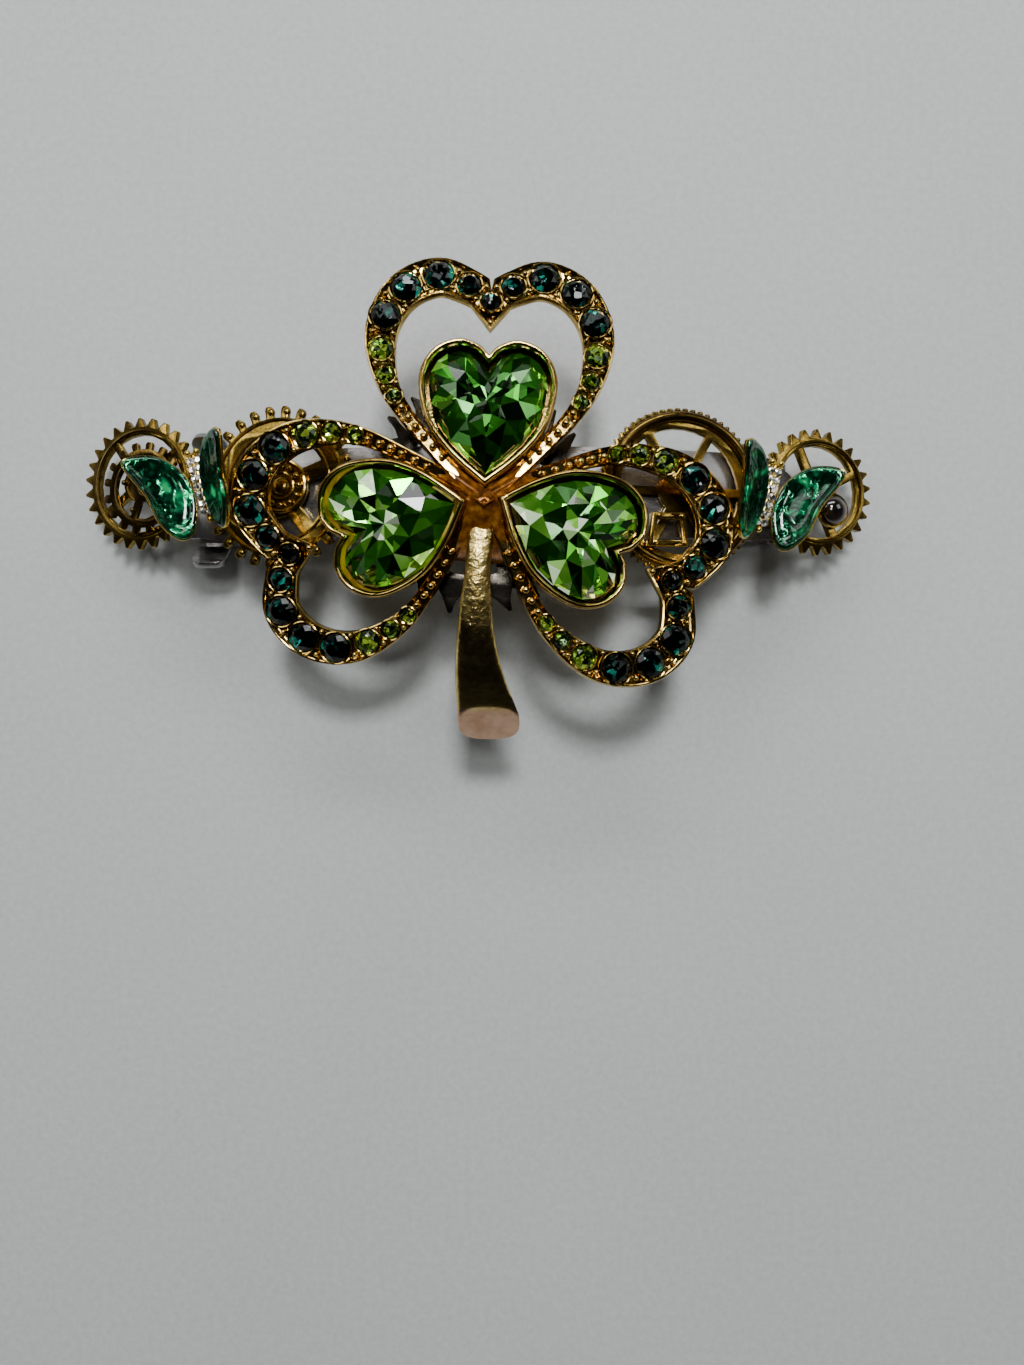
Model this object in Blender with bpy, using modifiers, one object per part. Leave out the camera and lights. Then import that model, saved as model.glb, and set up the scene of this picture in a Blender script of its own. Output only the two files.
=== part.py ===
"""Arched hair barrette with a shamrock brooch, clock gears and butterflies.

Metres, +Z out of the decorated face, +X along the plate, origin under the middle of the clip.
"""

import math

import bmesh
import bpy
from mathutils import Matrix, Vector

MM = 0.001
CLEARANCE = 0.3 * MM
PIN_CLEARANCE = 0.15 * MM
GLUE_GAP = 0.2 * MM
STONE_GAP = 0.12 * MM

# Middle of the plate, measured from the origin.
PLATE_CENTRE = Vector((1.54 * MM, 1.83 * MM, 0))

# Plate, an arched strip.
PLATE_LENGTH = 79 * MM
PLATE_WIDTH = 11 * MM
PLATE_THICKNESS = 0.8 * MM
PLATE_ARCH_RADIUS = 126 * MM
PLATE_CROWN = 13.9 * MM
PLATE_END_ROUND = 5 * MM

# Hinge at the +X end.
PIN_X = 38.4 * MM
PIN_Z = 1.75 * MM
PIN_RADIUS = 0.6 * MM
EAR_RADIUS = 1.7 * MM
EAR_THICKNESS = 0.8 * MM
EAR_Y = 4.6 * MM
KNUCKLE_RADIUS = 1.5 * MM

# Clasp arm, arched less than the plate, with a flat tongue at the latch.
ARM_ARCH_RADIUS = 205 * MM
ARM_THICKNESS = 0.9 * MM
ARM_WIDTH = 7.2 * MM
TONGUE_WIDTH = 6.4 * MM
TONGUE_START = -36 * MM
TONGUE_END = -39.6 * MM

# Tension bar, the spring leaf between plate and arm.
BAR_LENGTH = 62 * MM
BAR_WIDTH = 5.2 * MM
BAR_THICKNESS = 0.45 * MM
BAR_ARCH_RADIUS = 300 * MM

# Latch under the -X end.
LATCH_X = -36.4 * MM
LATCH_LENGTH = 5.2 * MM
LATCH_WIDTH = 9.8 * MM
LATCH_BOTTOM = 2.6 * MM
LATCH_SHEET = 0.7 * MM
TAB_LENGTH = 4.6 * MM
TAB_SHEET = 0.7 * MM
TAB_WING_TIP = (8.5 * MM, 7.5 * MM)
TAB_KNEE = (5.65 * MM, 0.45 * MM)
TAB_HOOK_TIP = (3.85 * MM, 0.45 * MM)
TAB_PIVOT_Y = 5.95 * MM
TAB_PIVOT_Z = 4.4 * MM
RIVET_RADIUS = 0.8 * MM
RIVET_HEAD = 1.5 * MM

# Shamrock brooch. Heights are of the leaf faces where the leaves meet.
BROOCH_CENTRE = Vector((0, -2.5 * MM))
BROOCH_FACE = 20.6 * MM
LEAF_AZIMUTHS = {"top": 88.3, "left": 194.5, "right": -23.5}
LEAF_DROOP = {"top": 7.5, "left": 11.2, "right": 8.9}
LEAF_ROLL = {"top": 1, "left": -7, "right": -4}
LEAF_ROOTS = {"top": (0, -0.3, 0.4), "left": (-0.5, 0.4, -0.2), "right": (0.2, 0.6, -0.1)}
BAND_THICKNESS = 1.6 * MM
POST_RADIUS = 4.5 * MM
HUB_RADIUS = 4.2 * MM
HUB_DEPTH = 3.2 * MM
FLOOR_DEPTH = 2.3 * MM
CUP_BOTTOM = -1.2 * MM
CUP_HEIGHT = 3.5 * MM
CUP_WALL = 0.75 * MM
CUP_FLOOR = 0.6 * MM
GIRDLE_HEIGHT = 2.3 * MM
CROWN_HEIGHT = 1.9 * MM

# Half of a leaf band's centre line, from the brooch's middle round to the notch: across, along, half width.
LEAF_HALF = [
    (1.6, 1.4, 0.8),
    (6.0, 6.0, 0.8),
    (10.9, 12.1, 1.15),
    (12.8, 17.9, 1.8),
    (12.4, 22.3, 2.15),
    (10.1, 25.9, 2.4),
    (6.3, 27.6, 2.4),
    (2.7, 26.5, 2.15),
    (0.0, 24.45, 2.0),
]
LEAF_NOTCH_OUTER = 26.1 * MM
LEAF_NOTCH_INNER = 20.9 * MM
# Half of a heart cup's outline: across, along.
CUP_HALF = [
    (0, 1.4),
    (4.0, 4.8),
    (6.7, 8.3),
    (7.9, 12.2),
    (7.8, 15.3),
    (6.2, 17.8),
    (3.5, 18.9),
    (1.2, 18.2),
    (0, 17.0),
]
# Stones of half a leaf from the notch outwards: name and diameter.
NOTCH_STONE = 2.2 * MM
HALF_LEAF_STONES = [("dark", 2.6 * MM), ("lobe", 3.4 * MM), ("shoulder", 3.4 * MM), ("side", 3.4 * MM)]
STONE_SPACE = 0.9 * MM
STONE_HEIGHT = 1.1 * MM

# Stem: Y of its upper edge and height over the brooch face, the same of its lower edge, half width, and bow.
STEM_SECTIONS = [
    (-2.0, -0.6, -2.0, -2.2, 2.2, -0.3),
    (-6.0, 0.1, -6.0, -2.3, 1.7, -0.7),
    (-10.0, 0.2, -10.0, -2.4, 1.5, -1.1),
    (-14.0, -0.3, -14.3, -2.8, 1.85, -1.35),
    (-18.0, -1.0, -18.8, -3.7, 2.3, -1.4),
    (-22.0, -2.1, -23.8, -4.9, 2.9, -1),
    (-25.0, -3.3, -28.2, -6.4, 3.5, -0.3),
    (-26.5, -4.0, -30.8, -7.6, 3.85, 0.1),
]

# Gears: centre on the plate, radius over the teeth, sheet thickness.
GEAR_SHEET = 0.9 * MM
LEFT_GEAR = (-26.0 * MM, 0.7 * MM)
LEFT_GEAR_RADIUS = 10.2 * MM
RIGHT_GEAR = (23.9 * MM, 0.1 * MM)
RIGHT_GEAR_RADIUS = 10.4 * MM
LEFT_END_GEAR = (-45.2 * MM, 2.3 * MM)
LEFT_END_RADIUS = 8.6 * MM
RIGHT_END_GEAR = (42.5 * MM, 1.0 * MM)
RIGHT_END_RADIUS = 8.2 * MM
END_GEAR_SEAT = 38 * MM
STAR_GEAR = (-1.3 * MM, -1.1 * MM)
STAR_GEAR_RADIUS = 14.5 * MM
STAR_GEAR_SHEET = 1.0 * MM
STAR_GEAR_TURN = -7.6
STAR_TOOTH_HEIGHT = 2.6 * MM
PEG_HEIGHT = 1.5 * MM
BEAD_TOOTH_HEIGHT = 0.45 * MM
POINT_HEIGHT = 1.1 * MM
SMALL_GEAR_RADIUS = 6.0 * MM
SMALL_GEAR_SHEET = 0.5 * MM
SMALL_GEAR_TOOTH = 0.9 * MM
SMALL_GEAR_SHIFT = (1.0 * MM, -0.8 * MM)

# Rosette on the left gear: radius and height of each ring, from its middle out.
ROSETTE_RADIUS = 3.4 * MM
ROSETTE_SHIFT = 0.6 * MM
ROSETTE_RINGS = [
    (0, 0.9),
    (0.7, 0.85),
    (1.15, 0.4),
    (1.5, 0.75),
    (1.8, 0.75),
    (2.0, 0.3),
    (2.8, 0.3),
    (3.0, 0.7),
    (3.4, 0.6),
]

# Watch bridge on the right gear, and the collared bead on the right end gear.
BRIDGE_LENGTH = 5.2 * MM
BRIDGE_WIDTH = 4.2 * MM
BRIDGE_HEIGHT = 1.2 * MM
BRIDGE_SHIFT = (-2.0 * MM, -5.0 * MM)
BEAD_RADIUS = 1.9 * MM
BEAD_COLLAR = 0.35 * MM
BEAD_SEAT = 0.45 * MM
BEAD_SHIFT = (1.6 * MM, -2.4 * MM)

# Butterflies: position, turn about Z, and how steeply each wing stands.
BUTTERFLIES = {"left": (-35.7 * MM, 0.9 * MM, 15), "right": (35.2 * MM, -0.4 * MM, -15)}
BUTTERFLY_BODY = (1.7 * MM, 9.4 * MM, 1.8 * MM)
BUTTERFLY_Z = 11.9 * MM
OUTER_WING_RISE = 26
INNER_WING_RISE = 50
WING_SHEET = 0.7 * MM
# Wing seen from above its face: away from the body, and along the body.
WING_OUTLINE = [
    (1.05, -2.1),
    (1.6, 1.6),
    (4.5, 4.3),
    (8.4, 4.1),
    (6.7, -0.3),
    (5.9, -4.0),
    (4.0, -6.35),
    (2.3, -5.7),
]

COLOURS = {
    "steel": ((0.62, 0.63, 0.65), 0.28, 1.0),
    "gold": ((0.83, 0.58, 0.30), 0.2, 1.0),
    "antique_brass": ((0.42, 0.28, 0.08), 0.35, 1.0),
    "gunmetal": ((0.07, 0.07, 0.08), 0.35, 1.0),
    "peridot": ((0.15, 0.55, 0.06), 0.05, 0.0),
    "emerald": ((0.0, 0.12, 0.07), 0.05, 0.0),
    "green_enamel": ((0.02, 0.35, 0.14), 0.15, 0.0),
    "clear_stone": ((0.75, 0.75, 0.65), 0.15, 0.6),
    "black_bead": ((0.02, 0.015, 0.012), 0.12, 0.0),
}


def clear_scene():
    for obj in list(bpy.data.objects):
        bpy.data.objects.remove(obj, do_unlink=True)


def new_collection(name):
    collection = bpy.data.collections.new(name)
    bpy.context.scene.collection.children.link(collection)
    return collection


def material(name, finish):
    colour, roughness, metallic = COLOURS[finish]
    made = bpy.data.materials.new(name)
    made.use_nodes = True
    shader = made.node_tree.nodes["Principled BSDF"]
    shader.inputs["Base Color"].default_value = (*colour, 1)
    shader.inputs["Roughness"].default_value = roughness
    shader.inputs["Metallic"].default_value = metallic
    return made


def finish_object(name, data, finish, matrix=None):
    """One named part, with a material of its own, in the clip's collection."""
    obj = bpy.data.objects.new(name, data)
    data.materials.append(material(name, finish))
    PARTS.objects.link(obj)
    obj.parent = FRAME
    obj.matrix_local = matrix or Matrix.Identity(4)
    return obj


def make_cutter(obj):
    """A helper that only cuts or joins."""
    for collection in obj.users_collection:
        collection.objects.unlink(obj)
    CUTTERS.objects.link(obj)
    obj.hide_render = True
    obj.display_type = "WIRE"
    return obj


def combine(target, helper, operation):
    modifier = target.modifiers.new(helper.name, "BOOLEAN")
    modifier.operation = operation
    modifier.object = make_cutter(helper)
    modifier.solver = "EXACT"


def face_outwards(bm):
    """Turns every face out, at a large size, because tiny faces have no clear normal."""
    bmesh.ops.scale(bm, vec=(1 / MM,) * 3, verts=bm.verts)
    bmesh.ops.recalc_face_normals(bm, faces=bm.faces)
    bmesh.ops.scale(bm, vec=(MM,) * 3, verts=bm.verts)


def mesh_from(bm, name):
    face_outwards(bm)
    mesh = bpy.data.meshes.new(name)
    bm.to_mesh(mesh)
    bm.free()
    mesh.shade_smooth()
    mesh.set_sharp_from_angle(angle=math.radians(35))
    return mesh


def smooth_through(points, steps, closed=False):
    """Points of a Catmull-Rom curve through the given ones."""
    points = [Vector(p) for p in points]
    count = len(points)
    spans = count if closed else count - 1
    found = []
    for i in range(spans):
        if closed:
            before, start, end, after = (points[(i + k) % count] for k in (-1, 0, 1, 2))
        else:
            start, end = points[i], points[i + 1]
            before = points[i - 1] if i else 2 * start - end
            after = points[i + 2] if i + 2 < count else 2 * end - start
        for step in range(steps):
            t = step / steps
            found.append(
                0.5 * (2 * start + (end - before) * t + (2 * before - 5 * start + 4 * end - after) * t * t
                       + (3 * start - before - 3 * end + after) * t ** 3)
            )
    if not closed:
        found.append(points[-1])
    return found


def circle(radius, sides, centre=(0, 0)):
    turns = [2 * math.pi * k / sides for k in range(sides)]
    return [(centre[0] + radius * math.cos(a), centre[1] + radius * math.sin(a)) for a in turns]


def plate_from_outlines(name, outlines, thickness, finish, matrix=None):
    """A flat sheet part: the first outline is its edge and the others are its openings."""
    data = bpy.data.curves.new(name, "CURVE")
    data.dimensions = "2D"
    data.fill_mode = "BOTH"
    data.extrude = thickness / 2
    for outline in outlines:
        spline = data.splines.new("POLY")
        spline.points.add(len(outline) - 1)
        for point, (x, y) in zip(spline.points, outline):
            point.co = (x, y, 0, 1)
        spline.use_cyclic_u = True
    return finish_object(name, data, finish, matrix)


def as_mesh(obj):
    """The curve object made a closed mesh, in the same place."""
    bpy.context.view_layer.update()
    graph = bpy.context.evaluated_depsgraph_get()
    mesh = bpy.data.meshes.new_from_object(obj.evaluated_get(graph))
    welded = bmesh.new()
    welded.from_mesh(mesh)
    bmesh.ops.remove_doubles(welded, verts=welded.verts, dist=1e-7)
    face_outwards(welded)
    welded.to_mesh(mesh)
    welded.free()
    name, place, collection = obj.name, obj.matrix_world.copy(), obj.users_collection[0]
    bpy.data.objects.remove(obj, do_unlink=True)
    made = bpy.data.objects.new(name, mesh)
    collection.objects.link(made)
    made.parent = FRAME
    made.matrix_world = place
    return made


def loft(name, rings, finish, matrix=None):
    """A closed body through rings of equal point count, with a flat cap on each end."""
    bm = bmesh.new()
    loops = [[bm.verts.new(point) for point in ring] for ring in rings]
    for lower, upper in zip(loops, loops[1:]):
        for i in range(len(lower)):
            j = (i + 1) % len(lower)
            bm.faces.new((lower[i], lower[j], upper[j], upper[i]))
    bm.faces.new(list(reversed(loops[0])))
    bm.faces.new(loops[-1])
    return finish_object(name, mesh_from(bm, name), finish, matrix)


def turned(name, profile, sides, finish, matrix=None):
    """A body turned about Z from a profile that runs down its outer side, with both ends on the axis."""
    data = bpy.data.meshes.new(name)
    data.from_pydata([(r, 0, z) for r, z in profile], [(i, i + 1) for i in range(len(profile) - 1)], [])
    obj = finish_object(name, data, finish, matrix)
    screw = obj.modifiers.new("turn", "SCREW")
    screw.axis = "Z"
    screw.steps = sides
    screw.render_steps = sides
    screw.use_merge_vertices = True
    screw.merge_threshold = 1e-6
    return obj


def cylinder(name, radius, depth, sides, finish, matrix):
    bm = bmesh.new()
    bmesh.ops.create_cone(bm, cap_ends=True, segments=sides, radius1=radius, radius2=radius, depth=depth)
    return finish_object(name, mesh_from(bm, name), finish, matrix)


def move(x, y, z):
    return Matrix.Translation((x, y, z))


def turn(degrees, axis):
    return Matrix.Rotation(math.radians(degrees), 4, axis)


def arch_height(x, crown, radius):
    return crown - radius + math.sqrt(radius * radius - x * x)


def plate_top(x):
    return arch_height(x, PLATE_CROWN, PLATE_ARCH_RADIUS)


def arm_top(x):
    """The arm runs level past the ends of its arch, and its level underside is the clip's lowest face."""
    level = arch_height(TONGUE_START, 0, ARM_ARCH_RADIUS)
    return ARM_THICKNESS + arch_height(min(abs(x), -TONGUE_START), 0, ARM_ARCH_RADIUS) - level


def strip(name, start, end, half_width, top, thickness, steps, finish):
    """A bent strip: half_width and top are functions of x, and the sheet hangs below its top."""
    bm = bmesh.new()
    bmesh.ops.create_grid(bm, x_segments=steps, y_segments=1, size=1)
    for vert in bm.verts:
        x = start + (end - start) * (vert.co.x + 1) / 2
        vert.co = (x, vert.co.y * half_width(x), top(x))
    obj = finish_object(name, mesh_from(bm, name), finish)
    solid = obj.modifiers.new("sheet", "SOLIDIFY")
    solid.thickness = thickness
    solid.offset = -1
    return obj


def rounded_end(half_length, half_width, end_round):
    """Half width of a strip whose ends are rounded off."""

    def width(x):
        past = max(0, abs(x) - (half_length - end_round)) / end_round
        return half_width * (1 - 0.45 * past ** 2.5)

    return width


# ---------------------------------------------------------------- barrette


def make_plate():
    half = PLATE_LENGTH / 2
    width = rounded_end(half, PLATE_WIDTH / 2, PLATE_END_ROUND)
    plate = strip("top_plate", -half, half, width, plate_top, PLATE_THICKNESS, 30, "steel")
    ear_top = plate_top(PIN_X) - PLATE_THICKNESS / 2
    for side in (-1, 1):
        lower = [(PIN_X + EAR_RADIUS * math.cos(a), PIN_Z + EAR_RADIUS * math.sin(a))
                 for a in (math.radians(180 + 18 * k) for k in range(11))]
        lead = PIN_X - EAR_RADIUS
        outline = lower + [(PIN_X + 0.2 * EAR_RADIUS, ear_top), (lead, plate_top(lead) - PLATE_THICKNESS / 2)]
        hole = circle(PIN_RADIUS + PIN_CLEARANCE, 16, (PIN_X, PIN_Z))
        matrix = move(0, side * (EAR_Y - EAR_THICKNESS / 2), 0) @ turn(90, "X")
        ear = plate_from_outlines(f"ear_{side}", [outline, hole], EAR_THICKNESS, "steel", matrix)
        combine(plate, as_mesh(ear), "UNION")
    hole = cylinder("rivet_hole", RIVET_RADIUS + CLEARANCE, 4 * MM, 12, "steel", move(LATCH_X, 0, plate_top(LATCH_X)))
    combine(plate, hole, "DIFFERENCE")
    return plate


def make_arm():
    shoulder = LATCH_X + TAB_LENGTH / 2 + 10 * CLEARANCE

    def width(x):
        return (TONGUE_WIDTH if x < shoulder else ARM_WIDTH) / 2

    arm = strip("clasp_arm", TONGUE_END, PIN_X - KNUCKLE_RADIUS * 0.6, width, arm_top, ARM_THICKNESS, 30, "steel")
    knuckle_place = move(PIN_X, 0, PIN_Z) @ turn(90, "X")
    knuckle = cylinder("knuckle", KNUCKLE_RADIUS, ARM_WIDTH, 20, "steel", knuckle_place)
    combine(arm, knuckle, "UNION")
    bore = cylinder("knuckle_bore", PIN_RADIUS + PIN_CLEARANCE, 2 * ARM_WIDTH, 16, "steel", knuckle_place)
    combine(arm, bore, "DIFFERENCE")
    return arm


def make_hinge_pin():
    length = 2 * EAR_Y + 2 * CLEARANCE
    cylinder("hinge_pin", PIN_RADIUS, length, 16, "steel", move(PIN_X, 0, PIN_Z) @ turn(90, "X"))


def make_tension_bar():
    half = BAR_LENGTH / 2
    rise = arch_height(half, 0, BAR_ARCH_RADIUS)
    crown = plate_top(half) - PLATE_THICKNESS - GLUE_GAP - rise
    strip("tension_bar", -half, half, rounded_end(half, BAR_WIDTH / 2, 3 * MM),
          lambda x: arch_height(x, crown, BAR_ARCH_RADIUS), BAR_THICKNESS, 20, "steel")


def latch_matrix():
    """Turns a section drawn in Y and Z into a solid that runs along X at the latch."""
    return move(LATCH_X, 0, 0) @ turn(90, "Z") @ turn(90, "X")


def make_latch_base():
    half = LATCH_WIDTH / 2
    top = PLATE_CROWN
    web = plate_top(LATCH_X - LATCH_LENGTH / 2) - PLATE_THICKNESS - GLUE_GAP - LATCH_SHEET
    inner = half - LATCH_SHEET
    outline = [(-half, LATCH_BOTTOM), (-inner, LATCH_BOTTOM), (-inner, web), (inner, web),
               (inner, LATCH_BOTTOM), (half, LATCH_BOTTOM), (half, top), (-half, top)]
    base = as_mesh(plate_from_outlines("latch_base", [outline], LATCH_LENGTH, "steel", latch_matrix()))
    base.data.materials.append(material("latch_base", "steel"))
    bm = bmesh.new()
    bmesh.ops.create_grid(bm, x_segments=12, y_segments=1, size=1)
    for vert in bm.verts:
        x = LATCH_X + vert.co.x * LATCH_LENGTH
        vert.co = (x, vert.co.y * PLATE_WIDTH, plate_top(x) - PLATE_THICKNESS - GLUE_GAP)
    room = finish_object("plate_room", mesh_from(bm, "plate_room"), "steel")
    solid = room.modifiers.new("room", "SOLIDIFY")
    solid.thickness = PLATE_CROWN
    solid.offset = 1
    combine(base, room, "DIFFERENCE")
    hole = cylinder("base_hole", RIVET_RADIUS + CLEARANCE, PLATE_CROWN, 12, "steel", move(LATCH_X, 0, web))
    combine(base, hole, "DIFFERENCE")
    head_top = web - CLEARANCE
    shaft_top = plate_top(LATCH_X) - PLATE_THICKNESS / 2
    turned("latch_rivet", [(0, shaft_top), (RIVET_RADIUS, shaft_top), (RIVET_RADIUS, head_top),
                           (RIVET_HEAD, head_top), (RIVET_HEAD, head_top - 0.4 * MM), (0, head_top - 0.7 * MM)],
           16, "steel", move(LATCH_X, 0, 0))
    return base


def make_latch_tabs():
    """Two thumb tabs. Each has a wing above its pivot and a hooked leg below it."""
    half = TAB_SHEET / 2
    pivot = (TAB_PIVOT_Y, TAB_PIVOT_Z)
    outline = [
        (TAB_WING_TIP[0] + half, TAB_WING_TIP[1] - half),
        (pivot[0] + half, pivot[1]),
        (TAB_KNEE[0] + half, TAB_KNEE[1] - half),
        (TAB_HOOK_TIP[0] - half, TAB_HOOK_TIP[1] - half),
        (TAB_HOOK_TIP[0] - half, TAB_HOOK_TIP[1] + half),
        (TAB_KNEE[0] - half, TAB_KNEE[1] + half),
        (pivot[0] - half, pivot[1]),
        (TAB_WING_TIP[0] - half, TAB_WING_TIP[1] + half),
    ]
    for name, side in (("latch_tab_far", 1), ("latch_tab_near", -1)):
        section = [(side * (y - pivot[0]), z - pivot[1]) for y, z in outline]
        matrix = move(0, side * pivot[0], pivot[1]) @ latch_matrix()
        plate_from_outlines(name, [section], TAB_LENGTH, "steel", matrix)


# ---------------------------------------------------------------- gears


def toothed(teeth, root, tip, tooth):
    """Edge of a gear: tooth is a list of (share of the pitch, share of the tooth height)."""
    edge = []
    for k in range(teeth):
        for share, height in tooth:
            angle = 2 * math.pi * (k + share) / teeth
            radius = root + (tip - root) * height
            edge.append((radius * math.cos(angle), radius * math.sin(angle)))
    return edge


def windows(count, inner, outer, spoke, start=0, steps=5):
    """Openings between straight spokes of width spoke."""
    openings = []
    for k in range(count):
        middle = math.radians(start) + 2 * math.pi * (k + 0.5) / count
        half_pitch = math.pi / count
        opening = []
        for radius, way in ((inner, 1), (outer, -1)):
            half = half_pitch - math.asin(spoke / 2 / radius)
            opening += [(radius * math.cos(middle + way * half * (2 * s / steps - 1)),
                         radius * math.sin(middle + way * half * (2 * s / steps - 1))) for s in range(steps + 1)]
        openings.append(opening)
    return openings


PEG_TOOTH = [(0.26, 0), (0.26, 0.7), (0.36, 1), (0.64, 1), (0.74, 0.7), (0.74, 0)]
POINT_TOOTH = [(0.1, 0), (0.42, 1), (0.58, 1), (0.9, 0)]
BEAD_TOOTH = [(0.15, 0), (0.5, 1), (0.85, 0)]
HOOK_TOOTH = [(0.0, 0.0), (0.3, 0.35), (0.62, 1.0), (0.72, 0.98), (0.8, 0.4)]


def on_arch(x, y, lift):
    """A place on the plate at x, leaning with the arch, lift above its top."""
    lean = math.degrees(math.asin(x / PLATE_ARCH_RADIUS))
    return move(x, y, plate_top(x)) @ turn(lean, "Y") @ move(0, 0, lift)


def on_plate_end(x, y, lift):
    """A place past the plate's end, flush with the arch at END_GEAR_SEAT."""
    side = math.copysign(1, x)
    lean = math.degrees(math.asin(side * END_GEAR_SEAT / PLATE_ARCH_RADIUS))
    reach = (abs(x) - END_GEAR_SEAT) / math.cos(math.radians(lean))
    seat = move(side * END_GEAR_SEAT, y, plate_top(END_GEAR_SEAT)) @ turn(lean, "Y")
    return seat @ move(side * reach, 0, lift)


def gear_matrix(place, sheet):
    return place @ move(0, 0, sheet / 2)


def make_star_gear():
    edge = toothed(24, STAR_GEAR_RADIUS - STAR_TOOTH_HEIGHT, STAR_GEAR_RADIUS, HOOK_TOOTH)
    openings = windows(6, 5.6 * MM, 9.6 * MM, 1.6 * MM)
    place = move(*STAR_GEAR, PLATE_CROWN + GLUE_GAP) @ turn(STAR_GEAR_TURN, "Z")
    plate_from_outlines("star_gear", [edge, *openings], STAR_GEAR_SHEET, "gunmetal",
                        gear_matrix(place, STAR_GEAR_SHEET))


def make_left_gear():
    rim = LEFT_GEAR_RADIUS - PEG_HEIGHT
    edge = toothed(28, rim, LEFT_GEAR_RADIUS, PEG_TOOTH)
    openings = windows(5, ROSETTE_RADIUS + 0.5 * MM, rim - 2.0 * MM, 1.9 * MM, 20)
    place = on_arch(*LEFT_GEAR, GLUE_GAP)
    plate_from_outlines("left_gear", [edge, *openings], GEAR_SHEET, "antique_brass", gear_matrix(place, GEAR_SHEET))
    profile = [(radius * MM, height * MM) for radius, height in ROSETTE_RINGS] + [(ROSETTE_RADIUS, 0), (0, 0)]
    seat = place @ move(ROSETTE_SHIFT, 0, GEAR_SHEET + GLUE_GAP)
    turned("left_gear_rosette", profile, 24, "antique_brass", seat)


def make_left_end_gear():
    rim = LEFT_END_RADIUS - POINT_HEIGHT
    edge = toothed(26, rim, LEFT_END_RADIUS, POINT_TOOTH)
    openings = windows(4, 2.4 * MM, rim - 1.1 * MM, 1.0 * MM, 35)
    place = on_plate_end(*LEFT_END_GEAR, GLUE_GAP)
    plate_from_outlines("left_end_gear", [edge, *openings], GEAR_SHEET, "antique_brass",
                        gear_matrix(place, GEAR_SHEET))
    small_edge = toothed(16, SMALL_GEAR_RADIUS - SMALL_GEAR_TOOTH, SMALL_GEAR_RADIUS, PEG_TOOTH)
    small_openings = windows(3, 1.8 * MM, SMALL_GEAR_RADIUS - 2.0 * MM, 1.0 * MM, 10)
    seat = place @ move(*SMALL_GEAR_SHIFT, GEAR_SHEET + GLUE_GAP)
    plate_from_outlines("left_small_gear", [small_edge, *small_openings], SMALL_GEAR_SHEET, "antique_brass",
                        gear_matrix(seat, SMALL_GEAR_SHEET))


def make_right_gear():
    rim = RIGHT_GEAR_RADIUS - BEAD_TOOTH_HEIGHT
    edge = toothed(64, rim, RIGHT_GEAR_RADIUS, BEAD_TOOTH)
    openings = windows(6, 2.6 * MM, rim - 2.1 * MM, 1.0 * MM)
    place = on_arch(*RIGHT_GEAR, GLUE_GAP)
    plate_from_outlines("right_gear", [edge, *openings], GEAR_SHEET, "antique_brass",
                        gear_matrix(place, GEAR_SHEET))
    long, wide = BRIDGE_LENGTH / 2, BRIDGE_WIDTH / 2
    frame = [(-long, -wide), (long, -wide), (long * 0.8, wide), (-long * 0.8, wide)]
    inner = [(x * 0.7, y * 0.62) for x, y in frame]
    seat = place @ move(*BRIDGE_SHIFT, GEAR_SHEET + GLUE_GAP)
    plate_from_outlines("watch_bridge", [frame, inner], BRIDGE_HEIGHT, "antique_brass",
                        gear_matrix(seat, BRIDGE_HEIGHT))


def make_right_end_gear():
    rim = RIGHT_END_RADIUS - POINT_HEIGHT
    edge = toothed(26, rim, RIGHT_END_RADIUS, POINT_TOOTH)
    openings = windows(4, 2.6 * MM, rim - 1.1 * MM, 1.1 * MM, 25)
    place = on_plate_end(*RIGHT_END_GEAR, GLUE_GAP)
    plate_from_outlines("right_end_gear", [edge, *openings], GEAR_SHEET, "antique_brass",
                        gear_matrix(place, GEAR_SHEET))
    collar = BEAD_RADIUS + BEAD_COLLAR
    arc = [(BEAD_RADIUS * math.sin(a), BEAD_SEAT + BEAD_RADIUS * 0.75 * math.cos(a))
           for a in (math.radians(15 * k) for k in range(7))]
    profile = arc + [(collar, BEAD_SEAT), (collar, 0), (0, 0)]
    turned("right_end_bead", profile, 20, "black_bead", place @ move(*BEAD_SHIFT, GEAR_SHEET + GLUE_GAP))


# ---------------------------------------------------------------- butterflies


def make_butterflies():
    for side, (x, y, spin) in BUTTERFLIES.items():
        place = move(x, y, BUTTERFLY_Z) @ turn(spin, "Z")
        bm = bmesh.new()
        bmesh.ops.create_uvsphere(bm, u_segments=12, v_segments=10, radius=0.5)
        for vert in bm.verts:
            x_share, y_share, z_share = vert.co.x, vert.co.z, -vert.co.y
            vert.co = (BUTTERFLY_BODY[0] * x_share, BUTTERFLY_BODY[1] * y_share, BUTTERFLY_BODY[2] * z_share)
        finish_object(f"{side}_butterfly_body", mesh_from(bm, "body"), "clear_stone", place)
        outline = [(p.x * MM, p.y * MM) for p in smooth_through(WING_OUTLINE, 4, closed=True)]
        outwards = -1 if side == "left" else 1
        for wing, way, rise in (("outer", outwards, OUTER_WING_RISE), ("inner", -outwards, INNER_WING_RISE)):
            shape = [(way * p, q) for p, q in outline]
            matrix = place @ move(0, 0, BUTTERFLY_BODY[2] / 4) @ turn(-way * rise, "Y")
            plate_from_outlines(f"{side}_butterfly_{wing}_wing", [shape], WING_SHEET, "green_enamel", matrix)


# ---------------------------------------------------------------- shamrock


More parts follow.
